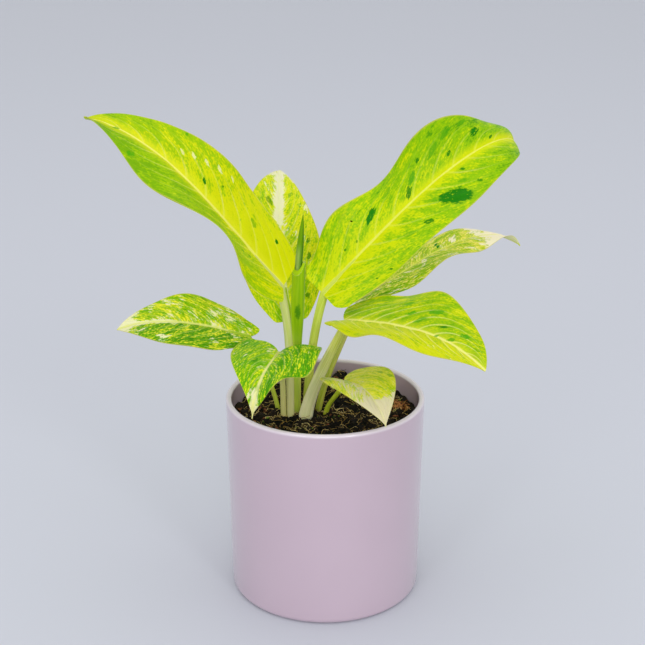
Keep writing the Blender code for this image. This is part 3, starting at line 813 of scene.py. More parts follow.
# foot is where a stalk enters the soil and collar is where it meets the blade; stalk holds its radius
# at both. heading turns from +X towards +Y, rise is up from level, and roll lifts the left side.
# droop, sweep and twist are the whole bend, turn and twist from collar to tip. widest, base_width and
# point shape the outline, lobe and shoulder its base. Pairs are the left and the right half, seen from
# the collar: fold lifts a half off the midrib, curl bends it back, and wave ripples its edge.
LEAVES = {
    "upper_left": dict(
        foot=(-0.0225, -0.0045), collar=(-0.0265, -0.0140, 0.2140), stalk=(0.0026, 0.0028),
        heading=200, rise=51.5, roll=-43, droop=77, droop_power=3.2, sweep=-9, twist=-20,
        length=0.170, half_width=0.0305, widest=0.28, base_width=0.79, point=0.95, lobe=0.0, shoulder=0.006,
        fold=(24, 20), curl=(7, 14), wave=(-0.0115, 0.0022), phase=(0.14, 0.37), waves=1.65),
    "upper_right": dict(
        foot=(-0.0125, 0.0055), collar=(-0.0020, -0.0020, 0.2055), stalk=(0.0031, 0.0029),
        heading=7, rise=47, roll=38, droop=110, droop_power=3.8, sweep=-3, twist=22,
        length=0.184, half_width=0.0280, widest=0.43, base_width=0.71, point=0.63, lobe=0.0, shoulder=0.0065,
        fold=(25, 6), curl=(4, 33), wave=(0.0115, -0.0025), phase=(-0.13, -0.09), waves=2.15),
    "back": dict(
        foot=(-0.0220, 0.0100), collar=(-0.0225, 0.0220, 0.1790), stalk=(0.0026, 0.0023),
        heading=110, rise=57, roll=-11, droop=59, droop_power=1.9, sweep=-18, twist=5,
        length=0.133, half_width=0.0280, widest=0.30, base_width=0.52, point=1.05, lobe=0.001, shoulder=0.005,
        fold=(14, 7), curl=(15, 28), wave=(0.0, -0.001), phase=(0.0, -0.1), waves=2.0),
    "rear_right": dict(
        foot=(-0.0045, 0.0072), collar=(0.0216, 0.0258, 0.1912), stalk=(0.0023, 0.0021),
        heading=26, rise=25, roll=6, droop=67, droop_power=2.7, sweep=6, twist=-5,
        length=0.142, half_width=0.0210, widest=0.41, base_width=0.45, point=1.3, lobe=0.005, shoulder=0.013,
        fold=(12, 12), curl=(25, 24), wave=(0.0016, -0.0044), phase=(-0.12, -0.07), waves=2.0),
    "right": dict(
        foot=(-0.0130, -0.0050), collar=(0.0118, -0.0123, 0.1910), stalk=(0.0048, 0.0031),
        heading=-45, rise=12, roll=5, droop=41, droop_power=2.3, sweep=-4, twist=-3,
        length=0.118, half_width=0.0310, widest=0.44, base_width=0.57, point=0.92, lobe=0.006, shoulder=0.009,
        fold=(25, 17), curl=(3, 20), wave=(0.0028, -0.0027), phase=(0.23, -0.28), waves=2.0),
    "left": dict(
        foot=(-0.0310, 0.0060), collar=(-0.0488, 0.0060, 0.1733), stalk=(0.0017, 0.0016),
        heading=193, rise=21, roll=-31, droop=52, droop_power=1.8, sweep=1, twist=3,
        length=0.089, half_width=0.0220, widest=0.40, base_width=0.48, point=1.0, lobe=0.006, shoulder=0.010,
        fold=(14, 17), curl=(21, 17), wave=(-0.0011, -0.0013), phase=(-0.09, -0.23), waves=2.0),
    "front_left": dict(
        foot=(-0.0272, -0.0052), collar=(-0.0293, -0.0190, 0.1725), stalk=(0.0019, 0.0018),
        heading=-104, rise=0, roll=2, droop=98, droop_power=2.3, sweep=-11, twist=-1,
        length=0.062, half_width=0.0285, widest=0.20, base_width=0.88, point=2.1, lobe=0.011, shoulder=-0.006,
        fold=(14, 16), curl=(30, 21), wave=(0.005, 0.0), phase=(-0.03, 0.0), waves=2.0),
    "front_right": dict(
        foot=(0.0005, 0.0010), collar=(0.0117, -0.0180, 0.1524), stalk=(0.0018, 0.0016),
        heading=-62, rise=15, roll=0, droop=72, droop_power=1.7, sweep=-1, twist=1,
        length=0.0595, half_width=0.0230, widest=0.32, base_width=0.76, point=1.4, lobe=0.006, shoulder=0.004,
        fold=(24, 23), curl=(13, 20), wave=(0.0, 0.0), phase=(0.0, 0.0), waves=2.0),
}


def turned(vector, axis, angle):
    """A vector turned about a unit axis."""
    along = axis * np.dot(axis, vector) * (1 - math.cos(angle))
    return vector * math.cos(angle) + np.cross(axis, vector) * math.sin(angle) + along


def ahead_of(leaf):
    """The level direction in which a leaf heads."""
    heading = math.radians(leaf["heading"])
    return np.array([math.cos(heading), math.sin(heading), 0.0])


def midrib_frames(leaf):
    """Places along the midrib, each with its forward, leftward and upward directions."""
    rise, roll, droop, sweep, twist = (
        math.radians(leaf[key]) for key in ("rise", "roll", "droop", "sweep", "twist"))
    forward = ahead_of(leaf)
    ahead = math.cos(rise) * forward + math.sin(rise) * UPRIGHT
    left = turned(np.cross(UPRIGHT, forward), ahead, roll)
    place = np.array(leaf["collar"], float)
    frames = [(place, ahead, left, np.cross(ahead, left))]
    for i in range(MIDRIB_STEPS):
        start, end = i / MIDRIB_STEPS, (i + 1) / MIDRIB_STEPS
        before = ahead
        ahead = turned(ahead, left, droop * (end ** leaf["droop_power"] - start ** leaf["droop_power"]))
        up = np.cross(ahead, left)
        ahead = turned(ahead, up, sweep / MIDRIB_STEPS)
        left = turned(np.cross(up, ahead), ahead, twist * (end ** TWIST_POWER - start ** TWIST_POWER))
        place = place + (before + ahead) / 2 * leaf["length"] / MIDRIB_STEPS
        frames.append((place, ahead, left, np.cross(ahead, left)))
    return [np.array([frame[k] for frame in frames]) for k in range(4)]


def frame_at(values, t):
    """A midrib value at any share of the blade's length."""
    step = np.clip(t, 0, 1) * MIDRIB_STEPS
    index = np.clip(np.floor(step).astype(int), 0, MIDRIB_STEPS - 1)
    share = (step - index)[..., None]
    return values[index] * (1 - share) + values[index + 1] * share


def half_at(t, leaf):
    """The blade's half width at a share of its length."""
    low = np.clip((leaf["widest"] - t) / leaf["widest"], 0, 1)
    high = np.clip((t - leaf["widest"]) / (1 - leaf["widest"]), 0, 1)
    rising = leaf["base_width"] + (1 - leaf["base_width"]) * (1 - low ** 2)
    share = np.where(t < leaf["widest"], rising, np.clip(1 - high ** 2, 0, 1) ** leaf["point"])
    return np.maximum(leaf["half_width"] * share, BLADE_TIP_HALF)


def vein_flow(t, u, leaf):
    """How far along the midrib the side vein through a place has left it."""
    side = np.abs(u)
    return t * leaf["length"] - leaf["half_width"] * (VEIN_LEAN * side + VEIN_BEND * side ** 2)


def vein_turn(t, u, leaf):
    """The angle at which the side vein through a place leaves the midrib's direction."""
    onward = leaf["half_width"] * (VEIN_LEAN + 2 * VEIN_BEND * np.abs(u))
    return np.arctan2(np.where(u > 0, 1, -1) * half_at(t, leaf), onward)


def blade_surface(leaf, t, u):
    """The blade's upper face at t from collar to tip and u from -1, the right edge, to 1, the left."""
    def by_side(key):
        return np.where(u > 0, *leaf[key])

    places, ahead, left, up = midrib_frames(leaf)
    side = np.abs(u)
    lobe = 1 - (1 - side / LOBE_SIDE) ** 2
    shoulder = np.clip((side - LOBE_SIDE) / (1 - LOBE_SIDE), 0, 1) ** 2
    base = leaf["shoulder"] * shoulder - leaf["lobe"] * lobe
    along = t * leaf["length"] + base * (1 - t) ** BASE_FADE
    half = half_at(t, leaf)
    fold, curl = np.radians(by_side("fold")), np.radians(by_side("curl"))
    across = half * (np.sin(fold) - np.sin(fold - curl * side)) / curl
    height = half * (np.cos(fold - curl * side) - np.cos(fold)) / curl
    ripple = np.sin(FULL_TURN * (leaf["waves"] * t + by_side("phase")))
    height = height + by_side("wave") * side ** 2 * ripple * np.sqrt(np.sin(math.pi * t))
    share = along / leaf["length"]
    spot = frame_at(places, share) + np.minimum(along, 0)[..., None] * ahead[0]
    spot = spot + frame_at(left, share) * (np.sign(u) * across)[..., None]
    return spot + frame_at(up, share) * height[..., None]


def face_normals(surface):
    """The upward normals of a grid of places, rows from collar to tip, columns from left to right."""
    down_rows, over_columns = np.gradient(surface, axis=0), np.gradient(surface, axis=1)
    normals = np.cross(over_columns, down_rows)
    return normals / np.maximum(np.linalg.norm(normals, axis=-1, keepdims=True), 1e-12)


def blade_relief(leaf, t, u, vein_spacing, seed):
    """Shallow forms of the upper face: the midrib's channel, a slight unevenness, and the side veins'
    furrows with the blade puffed up between them, fading to midrib, edge, collar and tip."""
    side = np.abs(u)
    channel = np.exp(-(side * half_at(t, leaf) / CHANNEL_WIDTH) ** 2) * (1 - t) ** 0.5
    cycle = vein_flow(t, u, leaf) / vein_spacing + np.where(u > 0, 0.0, VEIN_STAGGER)
    off_vein = np.abs((cycle + 0.5) % 1 - 0.5) * vein_spacing
    furrow = FURROW_DEPTH * np.exp(-(off_vein / FURROW_WIDTH) ** 2) + PUFF_HEIGHT * np.cos(FULL_TURN * cycle)
    fade = 1.0
    for distance, reach in zip((side, 1 - side, t, 1 - t), VEIN_FADES):
        fade = fade * np.clip(distance / reach, 0, 1)
    along, across, apart = UNEVEN_GRAIN
    uneven = np.array([[noise.noise(Vector((t_here * leaf["length"] * along, u_here * across, seed * apart)))
                        for t_here, u_here in zip(t_row, u_row)] for t_row, u_row in zip(t, u)])
    uneven = UNEVENNESS * uneven * np.clip((1 - t) / UNEVEN_TIP, 0, 1)
    return uneven - CHANNEL_DEPTH * channel - furrow * fade


def blade_mesh(name, leaf, vein_spacing, seed):
    """The closed blade: its upper face with its relief, and its underside with the midrib's ridge.
    Its points know their place on the blade and the way of the veins there, for the material."""
    rows = max(BLADE_MIN_ROWS, round(leaf["length"] / BLADE_ROW_SPACING))
    t, u = np.meshgrid(np.linspace(0, 1, rows + 1), np.linspace(1, -1, BLADE_COLUMNS + 1), indexing="ij")
    u = np.sign(u) * np.abs(u) ** COLUMN_CROWDING
    smooth = blade_surface(leaf, t, u)
    normals = face_normals(smooth)
    upper = smooth + normals * blade_relief(leaf, t, u, vein_spacing, seed)[..., None]
    side, half, level = np.abs(u), half_at(t, leaf), np.zeros_like(t)
    rib = np.clip(1 - side * half / RIB_WIDTH, 0, 1) * (1 - t)
    rib = rib * rib * (3 - 2 * rib)
    thickness = BLADE_EDGE * (1 - EDGE_THINNING * side ** 6) + (leaf["stalk"][1] - BLADE_EDGE) * rib
    lower = smooth - normals * thickness[..., None]
    count = (rows + 1) * (BLADE_COLUMNS + 1)
    index = np.arange(count).reshape(rows + 1, BLADE_COLUMNS + 1)
    top = np.stack([index[:-1, :-1], index[:-1, 1:], index[1:, 1:], index[1:, :-1]], -1).reshape(-1, 4)
    rim = np.concatenate([index[0, :-1], index[:-1, -1], index[-1, :0:-1], index[:0:-1, 0]])
    after = np.roll(rim, -1)
    wall = np.stack([rim, rim + count, after + count, after], -1)
    faces = np.concatenate([top, top[:, ::-1] + count, wall])
    mesh = make_mesh(name, np.concatenate([upper, lower]).reshape(-1, 3).tolist(), (), faces.tolist())
    place = np.stack([t, u, level], -1)
    spot = np.stack([t * leaf["length"], u * half, vein_flow(t, u, leaf)], -1)
    turn = vein_turn(t, u, leaf)
    grain = np.stack([np.cos(turn), np.sin(turn), level], -1)
    store_vectors(mesh, "place", np.concatenate([place, place + UPRIGHT]))
    store_vectors(mesh, "spot", np.concatenate([spot, spot]))
    store_vectors(mesh, "grain", np.concatenate([grain, grain]))
    return mesh


def stalk_line(leaf):
    """The stalk's line, its radii, and the side that its channel faces: towards the plant, and then
    upwards where it bends over to run out under the midrib."""
    places, ahead, _, up = midrib_frames(leaf)
    low, high = leaf["stalk"]
    foot = np.array([*leaf["foot"], SOIL_LEVEL])
    top = places[0] - up[0] * high * STALK_SEAT
    rise = np.linalg.norm(top - foot)
    leaving = unit(unit(top - foot) + UPRIGHT_AT_FOOT * UPRIGHT)
    arriving = unit(ahead[0] + UPRIGHT_AT_BLADE * UPRIGHT)
    ends = (foot, foot + FOOT_HANDLE * rise * leaving, top - BLADE_HANDLE * rise * arriving, top)
    run = np.linspace(0, RUNOUT_SHARE, RUNOUT_POINTS + 1)[1:]
    seat = (high * RUNOUT_SEAT * (1 - run / RUNOUT_END))[:, None]
    under = frame_at(places, run) - frame_at(up, run) * seat
    share = np.linspace(0, 1, STALK_POINTS)
    free = high + (low - high) * (1 - share) ** 2
    thin = high * np.interp(run, [0, RUNOUT_SHARE], [1.0, RUNOUT_THIN])
    path = np.vstack([[foot - ROOTED_DEPTH * UPRIGHT], bezier(ends, STALK_POINTS), under])
    bend = np.concatenate([[0.0], share ** 2, np.ones(RUNOUT_POINTS)])[:, None]
    return path, [low, *free, *thin], up[0] * bend - ahead_of(leaf) * (1 - bend)


def give_values(mesh, names, kind):
    """Add the stored values that a mesh lacks, all zero, so that both sides of a union have them."""
    for name in names:
        if name not in mesh.attributes:
            mesh.attributes.new(name, kind, "POINT")


# How each blade is marked, in the order of the leaves above: first its colours, then its measures.
# Green and Cream are more or less of that colour, Left and Right on that half of the blade.
LEAF_COLOURS = {
    "Lime": ((208, 214, 0), (200, 214, 0), (214, 222, 2), (204, 212, 24),
             (202, 210, 0), (192, 208, 2), (170, 206, 0), (222, 222, 46)),
    "Yellow": ((228, 226, 34), (220, 224, 4), (232, 230, 44), (238, 228, 104),
               (230, 224, 44), (240, 232, 56), (226, 232, 36), (234, 230, 110)),
    "Green": ((152, 190, 0), (140, 188, 0), (142, 192, 0), (144, 186, 4),
              (138, 182, 0), (118, 176, 0), (98, 170, 0), (168, 198, 10)),
    "Deep": ((66, 142, 2), (66, 142, 2), (66, 142, 2), (66, 142, 2),
             (66, 142, 2), (66, 138, 0), (60, 136, 0), (66, 142, 2)),
    "Cream": ((234, 232, 180), (234, 232, 180), (234, 232, 186), (246, 236, 196),
              (234, 232, 180), (234, 232, 180), (234, 232, 180), (224, 214, 176)),
    "Rib": ((236, 234, 116), (228, 232, 100), (232, 234, 176), (228, 232, 100),
            (238, 236, 140), (222, 226, 130), (232, 232, 150), (228, 222, 170)),
}
LEAF_MEASURES = {
    "Seed": (1.0, 2.0, 3.0, 4.0, 5.0, 6.0, 7.0, 8.0),
    "Green Left": (0.06, 0.02, 0.0, 0.03, 0.03, 0.12, 0.11, -0.02),
    "Green Right": (-0.04, 0.01, -0.02, 0.03, -0.05, 0.02, 0.03, -0.02),
    "Green To Edge": (0.06, 0.05, -0.01, 0.0, -0.03, 0.0, 0.0, 0.02),
    # More green towards the tip: partly the blade's own colour, partly painted shade on the tip.
    "Green And Shade To Tip": (0.22, 0.11, -0.06, -0.15, 0.0, 0.0, 0.0, 0.0),
    "Deep Share": (0.5, 0.8, 0.7, 1.0, 0.9, 0.9, 0.8, 0.6),
    "Light Share": (0.6, 0.7, 0.9, 1.0, 0.9, 0.9, 0.85, 0.8),
    "Fleck Level": (0.58, 0.58, 0.52, 0.50, 0.58, 0.50, 0.50, 0.53),
    "Cream Left": (-0.14, -0.2, -0.04, 0.02, -0.09, 0.0, -0.04, 0.0),
    "Cream Right": (-0.14, -0.16, -0.03, 0.02, -0.02, 0.05, -0.01, 0.08),
    "Pale Tip": (1.3, 1.3, 0.95, 0.80, 1.3, 0.96, 1.02, 0.78),
    "Pale Band": (0.0, 0.0, 0.0028, 0.0, 0.0, 0.0012, 0.0013, 0.0),
    "Band Start": (0.4, 0.4, 0.42, 0.4, 0.4, 0.55, 0.7, 0.4),
    "Rib Base": (0.0011, 0.0008, 0.0008, 0.0006, 0.0014, 0.0007, 0.0005, 0.0005),
    "Rib Tip": (0.0002, 0.0002, 0.0008, 0.0006, 0.0008, 0.0009, 0.0010, 0.0004),
    "Rib Glow": (0.6, 0.75, 0.3, 0.2, 0.4, 0.1, 0.1, 0.2),
    "Vein Spacing": (0.0165, 0.0165, 0.012, 0.010, 0.0125, 0.010, 0.009, 0.009),
    "Vein Share": (0.42, 0.4, 0.3, 0.5, 0.75, 0.3, 0.3, 0.3),
}

# The noise patterns in a blade, drawn out along the side veins: size of the grain, reach of a step
# along the vein, a number that tells the pattern apart, steps, detail and how torn it is.
PATTERNS = {
    "patch": (0.0050, 0.0022, 0.0, 4, 3.0, 0.6),
    "streak": (0.0010, 0.0008, 3.3, 6, 2.0, 0.5),
    "mottle": (0.0009, 0.0005, 5.7, 3, 1.0, 0.5),
    "ray": (0.0009, 0.0008, 14.4, 5, 3.0, 0.6),
    "crumb": (0.0011, 0.0005, 17.1, 3, 3.0, 0.65),
    "speck": (0.0011, 0.0005, 9.1, 3, 1.0, 0.5),
    "fleck": (0.0012, 0.0009, 8.5, 4, 3.0, 0.6),
    "area": (0.0075, 0.0016, 11.2, 3, 1.0, 0.5),
}
EVENING = 0.35
SPECKLE_SHARE = 0.3
PALE_TIP_GAIN = 0.34
LEAF_RIM = (200, 190, 90)
DULL_SIDE = (160, 192, 30)
ISLAND_GRAIN = 900.0
ISLAND_STRETCH = (0.4, 1.0, 1.0)
BLOTCH_TEARING = 2.0


def make_variegation():
    """The colours of a blade. Place is the share from collar to tip, from midrib to edge, and 1 on the
    underside; Spot is the distance along, across and past the side veins; Grain is the veins' way."""
    tree, given = new_tree("leaf_variegation", "ShaderNodeTree", {
        "Vector": ("Place", "Spot", "Grain"), "Color": LEAF_COLOURS, "Float": LEAF_MEASURES}, {
        "Color": ["Colour"], "Float": ["Height", "Roughness"]})
    t, u, underside = split(given["Place"])
    along, across, past_veins = split(given["Spot"])
    flat = join(along, across)
    left = reckon("GREATER_THAN", u, 0.0)
    edge, off_rib = abs(u), abs(across)

    def by_side(kind):
        return left * given[kind + " Left"] + (1 - left) * given[kind + " Right"]

    def drawn_out(size, reach, number, steps, detail, torn):
        """A pattern averaged over some steps either way along the vein, its contrast brought back."""
        total = 0.0
        for step in range(steps):
            shift = vectors("SCALE", given["Grain"], Scale=(step - (steps - 1) / 2) * reach)
            total = total + cloud(vectors("ADD", flat, shift), 1 / size, detail, torn, given["Seed"] + number)
        gain = 1 + EVENING * (steps - 1) ** 0.5
        return total * (gain / steps) + (0.5 - 0.5 * gain)

    patterns = [drawn_out(*pattern) for pattern in PATTERNS.values()]
    patch, streak, mottle, ray, crumb, speck, fleck, area = patterns

    # Green grows in patches drawn out along the veins, and is deep in their middles and in fine rays.
    mixed = patch * 0.42 + streak * 0.33 + mottle * 0.25
    green = mixed + by_side("Green") + (edge - 0.45) * given["Green To Edge"]
    # Some blades turn greener towards the tip: partly their own colour, partly painted shade that darkens the
    # tip; a negative value pales it.
    green = green + (t - 0.4) * given["Green And Shade To Tip"]
    rayed = (1 - step_up(ray, 0.34, 0.46)) * step_up(green, 0.38, 0.55)
    specked = step_up(speck + patch * 0.35, 0.90, 1.0)

    # Yellow comes in fine flecks and glows beside the midrib.
    lit = ray * 0.45 + crumb * 0.55 - patch * 0.35 + 0.175
    lit = step_up(lit, given["Fleck Level"], given["Fleck Level"] + 0.08)
    glow = (1 - step_up(off_rib, 0.0004, 0.0065)) * (0.3 + mixed * 1.4)

    # The side veins are pale lines that fade towards the edge.
    cycle = past_veins / given["Vein Spacing"] + (patch - 0.5) * 0.16 + (1 - left) * VEIN_STAGGER
    off_vein = abs(reckon("FRACT", cycle + 0.5) - 0.5) * given["Vein Spacing"]
    vein = (1 - step_up(off_vein, 0.0001, 0.0017)) * (1 - step_up(edge, 0.25, 0.95))
    veined = vein * given["Vein Share"] * step_up(streak, 0.2, 0.7)

    # Cream lies in torn patches, in some pale tips, and as a ragged band along some midribs.
    tip = step_up(t, given["Pale Tip"] - 0.2, given["Pale Tip"] + 0.1) * PALE_TIP_GAIN
    creamy = step_up(fleck * 0.66 + area * 0.34 + by_side("Cream") + tip, 0.57, 0.65)
    reach = given["Pale Band"] * (-2.9 + fleck * 5.0 + area * 2.0 + t)
    band = 1 - step_up(off_rib, reach * 0.75, reach * 1.15 + 0.0001)
    begun = step_up(t + (area - 0.5) * 0.5, given["Band Start"], given["Band Start"] + 0.12)
    banded = band * begun * step_up(given["Pale Band"], 0.0, 0.0005)

    # The midrib narrows or widens from base to tip.
    width = (given["Rib Base"] + t * (given["Rib Tip"] - given["Rib Base"])) * (0.55 + streak * 0.9)
    ribbed = 1 - step_up(off_rib, width * 0.4, width * 1.6)

    colour = given["Lime"]
    for share, label in (
            (step_up(green, 0.44, 0.56), "Green"),
            (step_up(green, 0.57, 0.67) * given["Deep Share"], "Deep"),
            (rayed * given["Deep Share"], "Deep"), (lit * given["Light Share"], "Yellow"),
            (glow * given["Rib Glow"], "Yellow"), (veined, "Rib"), (specked * SPECKLE_SHARE, "Deep"),
            (reckon("MAXIMUM", creamy, banded), "Cream"), (ribbed * 0.85, "Rib")):
        colour = tint(share, colour, given[label])
    colour = tint(step_up(edge, 0.965, 0.99) * 0.6, colour, srgb(*LEAF_RIM))
    put(tree, "NodeGroupOutput", {
        "Colour": tint(underside, colour, tint(0.35, colour, srgb(*DULL_SIDE))),
        "Height": mottle * 0.4 - veined * 0.4 + streak * 0.8,
        "Roughness": 0.34 + streak * 0.18 + underside * 0.15})
    return tree


def make_blotch():
    """One listed blotch: an oval that lies along the side veins, torn at its edges and with
    islands of the leaf's own colour left inside it."""
    tree, given = new_tree("leaf_blotch", "ShaderNodeTree", {
        "Vector": ("Spot", "Centre", "Size"), "Float": ["Turn"]}, {"Float": ["Share"]})
    flat = vectors("MULTIPLY", given["Spot"], (1.0, 1.0, 0.0))
    lined_up = read(tree, "ShaderNodeVectorRotate", {
        "Vector": flat, "Center": given["Centre"], "Angle": given["Turn"]}, rotation_type="Z_AXIS")
    oval = vectors("DIVIDE", vectors("SUBTRACT", lined_up, given["Centre"]), given["Size"])
    own = vectors("ADD", oval, vectors("SCALE", given["Centre"], Scale=ISLAND_GRAIN))
    torn = (cloud(own, 1.1, 4.0, 0.62) - 0.5) * BLOTCH_TEARING
    isles = cloud(vectors("MULTIPLY", lined_up, ISLAND_STRETCH), ISLAND_GRAIN, 2.0)
    solid = 1 - step_up(vectors("LENGTH", oval, output="Value") + torn, 0.75, 1.0)
    put(tree, "NodeGroupOutput", {"Share": solid * (1 - step_up(isles, 0.60, 0.68) * 0.7)})
    return tree


variegation, blotch = make_variegation(), make_blotch()

# Single blotches: share from collar to tip, share from midrib to edge, half length along the side
# veins and half width in millimetres, strength and colour.
DARK, GREEN, PALE = (30, 124, 0), (72, 158, 2), (236, 234, 170)
BLOTCHES = {
    "upper_left": (
        (0.494, -0.25, 2.8, 1.0, 1.0, DARK), (0.431, -0.47, 0.9, 0.7, 0.8, DARK),
        (0.125, -0.65, 1.9, 1.2, 1.0, DARK), (0.25, -0.47, 3.6, 1.6, 0.6, GREEN),
        (0.644, -0.93, 1.3, 1.0, 0.8, GREEN), (0.856, 0.07, 2.4, 1.3, 0.7, GREEN),
        (0.75, 0.73, 2.8, 1.5, 0.8, GREEN), (0.2, 0.30, 2.0, 1.3, 0.8, GREEN),
        (0.24, 0.42, 2.0, 1.2, 0.7, GREEN), (0.58, -0.55, 2.6, 1.0, 0.8, PALE),
        (0.53, -0.62, 2.8, 1.0, 0.7, PALE), (0.48, -0.70, 3.0, 1.1, 0.7, PALE),
        (0.42, -0.76, 2.4, 0.9, 0.6, PALE), (0.62, -0.45, 2.4, 0.9, 0.6, PALE)),
    "upper_right": (
        (0.566, -0.605, 12.5, 5.2, 1.0, DARK), (0.756, 0.52, 5.0, 2.1, 1.0, DARK),
        (0.806, 0.20, 2.4, 0.9, 0.9, DARK), (0.308, 0.435, 7.0, 2.1, 1.0, DARK),
        (0.456, 0.20, 4.6, 1.8, 0.9, DARK), (0.494, 0.40, 5.4, 1.8, 0.8, GREEN),
        (0.438, -0.65, 3.6, 1.6, 0.9, DARK), (0.637, 0.30, 2.4, 0.9, 0.9, DARK),
        (0.644, -0.20, 2.2, 0.9, 0.9, DARK), (0.544, 0.60, 1.8, 1.0, 0.9, DARK),
        (0.669, -0.70, 2.2, 1.1, 0.8, DARK), (0.225, -0.85, 1.2, 0.8, 0.9, DARK),
        (0.169, -0.80, 1.0, 0.7, 0.8, DARK), (0.163, 0.32, 1.2, 0.7, 0.8, DARK),
        (0.212, 0.25, 1.1, 0.7, 0.7, DARK), (0.66, 0.72, 5.0, 1.8, 0.7, GREEN),
        (0.60, 0.55, 5.5, 1.7, 0.6, GREEN), (0.72, 0.80, 4.0, 1.5, 0.7, GREEN),
        (0.40, 0.62, 5.0, 1.6, 0.6, GREEN), (0.50, -0.35, 5.0, 1.6, 0.5, GREEN),
        (0.36, -0.55, 5.0, 1.6, 0.5, GREEN), (0.62, -0.45, 4.0, 1.4, 0.6, GREEN)),
    "back": (
        (0.656, 0.35, 4.6, 1.9, 0.6, DARK), (0.30, 0.55, 3.4, 2.2, 0.7, DARK),
        (0.30, 0.27, 4.4, 1.8, 0.7, DARK), (0.419, -0.68, 2.4, 1.4, 0.7, DARK),
        (0.331, -0.65, 3.4, 1.6, 0.8, DARK),
        (0.119, -0.60, 2.2, 2.0, 0.8, DARK), (0.15, 0.48, 2.4, 1.8, 0.8, DARK),
        (0.60, 0.62, 4.2, 2.0, 0.6, GREEN), (0.72, -0.45, 3.6, 1.6, 0.6, GREEN)),
    "rear_right": ((0.494, 0.32, 2.4, 1.2, 1.0, DARK), (0.487, 0.15, 2.2, 1.1, 1.0, DARK)),
    "right": (
        (0.425, 0.38, 3.2, 1.4, 0.8, GREEN), (0.65, 0.30, 3.6, 1.2, 0.9, DARK),
        (0.656, 0.02, 1.8, 0.9, 0.7, GREEN), (0.781, 0.48, 3.8, 1.8, 0.9, GREEN),
        (0.744, 0.12, 2.6, 1.3, 0.8, GREEN), (0.56, 0.55, 5.4, 2.0, 0.8, GREEN),
        (0.36, 0.62, 4.4, 1.8, 0.7, GREEN), (0.5, 0.25, 4.4, 1.6, 0.7, GREEN)),
    "left": (
        (0.531, 0.18, 3.0, 1.2, 0.6, DARK), (0.456, 0.77, 3.0, 1.6, 0.6, DARK),
        (0.181, 0.25, 2.4, 1.4, 0.6, DARK), (0.362, -0.88, 2.2, 1.2, 0.5, DARK)),
    "front_left": (
        (0.125, -0.8, 2.4, 1.4, 0.5, DARK), (0.369, -0.35, 2.6, 1.4, 0.5, DARK),
        (0.15, 0.52, 2.6, 1.4, 0.5, DARK)),
    "front_right": (
        (0.356, 0.73, 2.8, 1.3, 0.6, GREEN), (0.463, 0.88, 2.2, 1.3, 0.6, GREEN),
        (0.244, -0.10, 1.6, 1.0, 0.7, DARK)),
}

# The stalks' colours at the soil, above, of their lines and their stripe; the stripe's share and side.
STALK_TINTS = {
    "upper_left": ((210, 208, 138), (196, 204, 114), (226, 224, 176), (170, 186, 64), 0.35, 1.6),
    "upper_right": ((214, 218, 110), (204, 216, 84), (228, 232, 130), (156, 188, 30), 0.4, 1.2),
    "back": ((196, 208, 80), (162, 192, 34), (196, 210, 80), (126, 166, 14), 0.4, 0.0),
    "rear_right": ((186, 192, 60), (204, 200, 110), (218, 214, 140), (136, 166, 20), 0.5, 0.5),
    "right": ((255, 250, 206), (198, 202, 60), (250, 246, 196), (174, 188, 50), 0.45, 2.4),
    "left": ((192, 206, 74), (166, 196, 44), (200, 214, 90), (130, 172, 20), 0.4, 0.0),
    "front_left": ((206, 202, 124), (190, 200, 100), (222, 218, 146), (162, 182, 52), 0.35, 0.0),
    "front_right": ((192, 210, 50), (184, 206, 40), (212, 222, 80), (148, 184, 24), 0.4, 0.0),
}
FIRST_STALK_SEED = 20.0


def make_blade_material(name, leaf, marks, blotches):
    """A blade's material: the variegation as it is marked, with its blotches over it."""
    material, tree, shader = new_material(name + "_blade")
    places = {label: stored(tree, label.lower(), "Vector") for label in ("Place", "Spot", "Grain")}
    colour, height, roughness = read_all(tree, "ShaderNodeGroup", {**places, **marks}, node_tree=variegation)
    for t, u, long, wide, strength, blotch_colour in blotches:
        share = read(tree, "ShaderNodeGroup", {
            "Spot": places["Spot"], "Centre": (t * leaf["length"], float(u * half_at(t, leaf)), 0.0),
            "Turn": -float(vein_turn(t, u, leaf)), "Size": (long / 1000, wide / 1000, 1.0)}, node_tree=blotch)
        colour = tint(share * strength, colour, srgb(*blotch_colour))
    dress_flesh(shader, colour, roughness, height, strength=0.3, softness=0.2)
    return material


for number, (name, leaf) in enumerate(LEAVES.items()):
    marks = {label: srgb(*colours[number]) for label, colours in LEAF_COLOURS.items()}
    marks.update({label: measures[number] for label, measures in LEAF_MEASURES.items()})
    blade = blade_mesh(name + "_blade", leaf, marks["Vein Spacing"], number + 1)
    blade.materials.append(make_blade_material(name, leaf, marks, BLOTCHES[name]))
    *colours, stripe_share, stripe_side = STALK_TINTS[name]
    stalk_material = make_stalk_material(name + "_stalk", colours, {
        "Stripe Share": stripe_share, "Stripe Side": stripe_side, "Seed": FIRST_STALK_SEED + number})
    stalk = grow_rod(name + "_stalk", *stalk_line(leaf), stalk_material,
                     Sides=48, Channel_Depth=0.22, Channel_Width=0.5, Rib_Depth=0.006, Rib_Count=12.0)
    give_values(stalk, ("place", "spot", "grain"), "FLOAT_VECTOR")
    give_values(blade, ("along", "around"), "FLOAT")
    grown = mend_mesh(joined_mesh(name + "_leaf", blade, stalk), weld=WELD / 100)
    add_piece(name + "_leaf", grown, "leaf", "leaf_" + name)

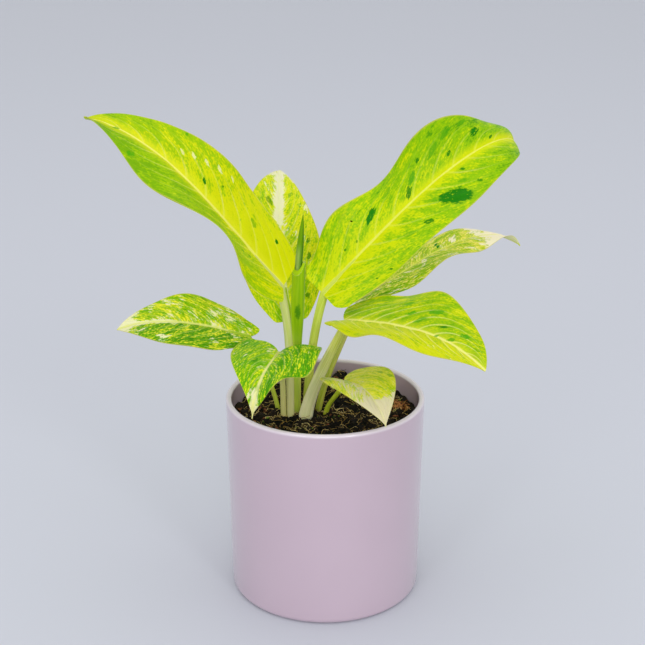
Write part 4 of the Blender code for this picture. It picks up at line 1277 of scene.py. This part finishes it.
# ------------------------------------------------------------------------------------------------
# The studio: a pale floor, soft light from above and from the window side, and the camera at the
# photograph's angle.
CAMERA_PLACE = (-0.00178, -0.81077, 0.48081)
CAMERA_DOWN = 20.05
CAMERA_LENS = 75
CAMERA_SENSOR = 36.0
HALF_FLOOR = 20.0
FLOOR_COLOUR = (203, 206, 215)
ROOM_LIGHT, ROOM_STRENGTH = (0.97, 0.98, 1.0, 1.0), 0.80

# Each lamp's place, the height on the pot's axis that it is turned to, its size and its watts.
LAMPS = {
    "ceiling_panel": ((0.0, 0.1, 2.2), 0.1, (2.6, 2.6), 7.6),
    "left_window": ((-1.1, -2.0, 1.2), 0.15, (0.55, 0.8), 6.0),
    "right_window": ((1.1, -2.0, 1.2), 0.15, (0.40, 0.8), 8.0),
    "front_panel": ((0.0, -2.2, 0.85), 0.15, (1.0, 0.6), 8.0),
}

corners = [(x * HALF_FLOOR, y * HALF_FLOOR, 0.0) for x, y in ((-1, -1), (1, -1), (1, 1), (-1, 1))]
floor_mesh = make_mesh("studio_floor", corners, (), [(0, 1, 2, 3)])
floor_material, _, floor_shader = new_material("pale_floor")
fill(floor_shader, {"Base Color": srgb(*FLOOR_COLOUR), "Roughness": 0.6})
floor_mesh.materials.append(floor_material)
floor = stand("studio_floor", floor_mesh)

world = bpy.data.worlds.new("soft_room")
world.use_nodes = True
fill(world.node_tree.nodes["Background"], {"Color": ROOM_LIGHT, "Strength": ROOM_STRENGTH})
bpy.context.scene.world = world

for name, (place, aim, size, watts) in LAMPS.items():
    lamp = bpy.data.lights.new(name, "AREA")
    lamp.shape = "RECTANGLE"
    lamp.size, lamp.size_y = size
    lamp.energy = watts
    holder = stand(name, lamp)
    holder.location = place
    holder.rotation_euler = (Vector((0.0, 0.0, aim)) - Vector(place)).to_track_quat("-Z", "Y").to_euler()

camera_data = bpy.data.cameras.new("photograph_view")
camera_data.lens = CAMERA_LENS
camera_data.sensor_width = CAMERA_SENSOR
camera = stand("photograph_view", camera_data)
camera.location = CAMERA_PLACE
camera.rotation_euler = (math.radians(90 - CAMERA_DOWN), 0.0, 0.0)
bpy.context.scene.camera = camera
bpy.context.scene.view_settings.view_transform = "Standard"
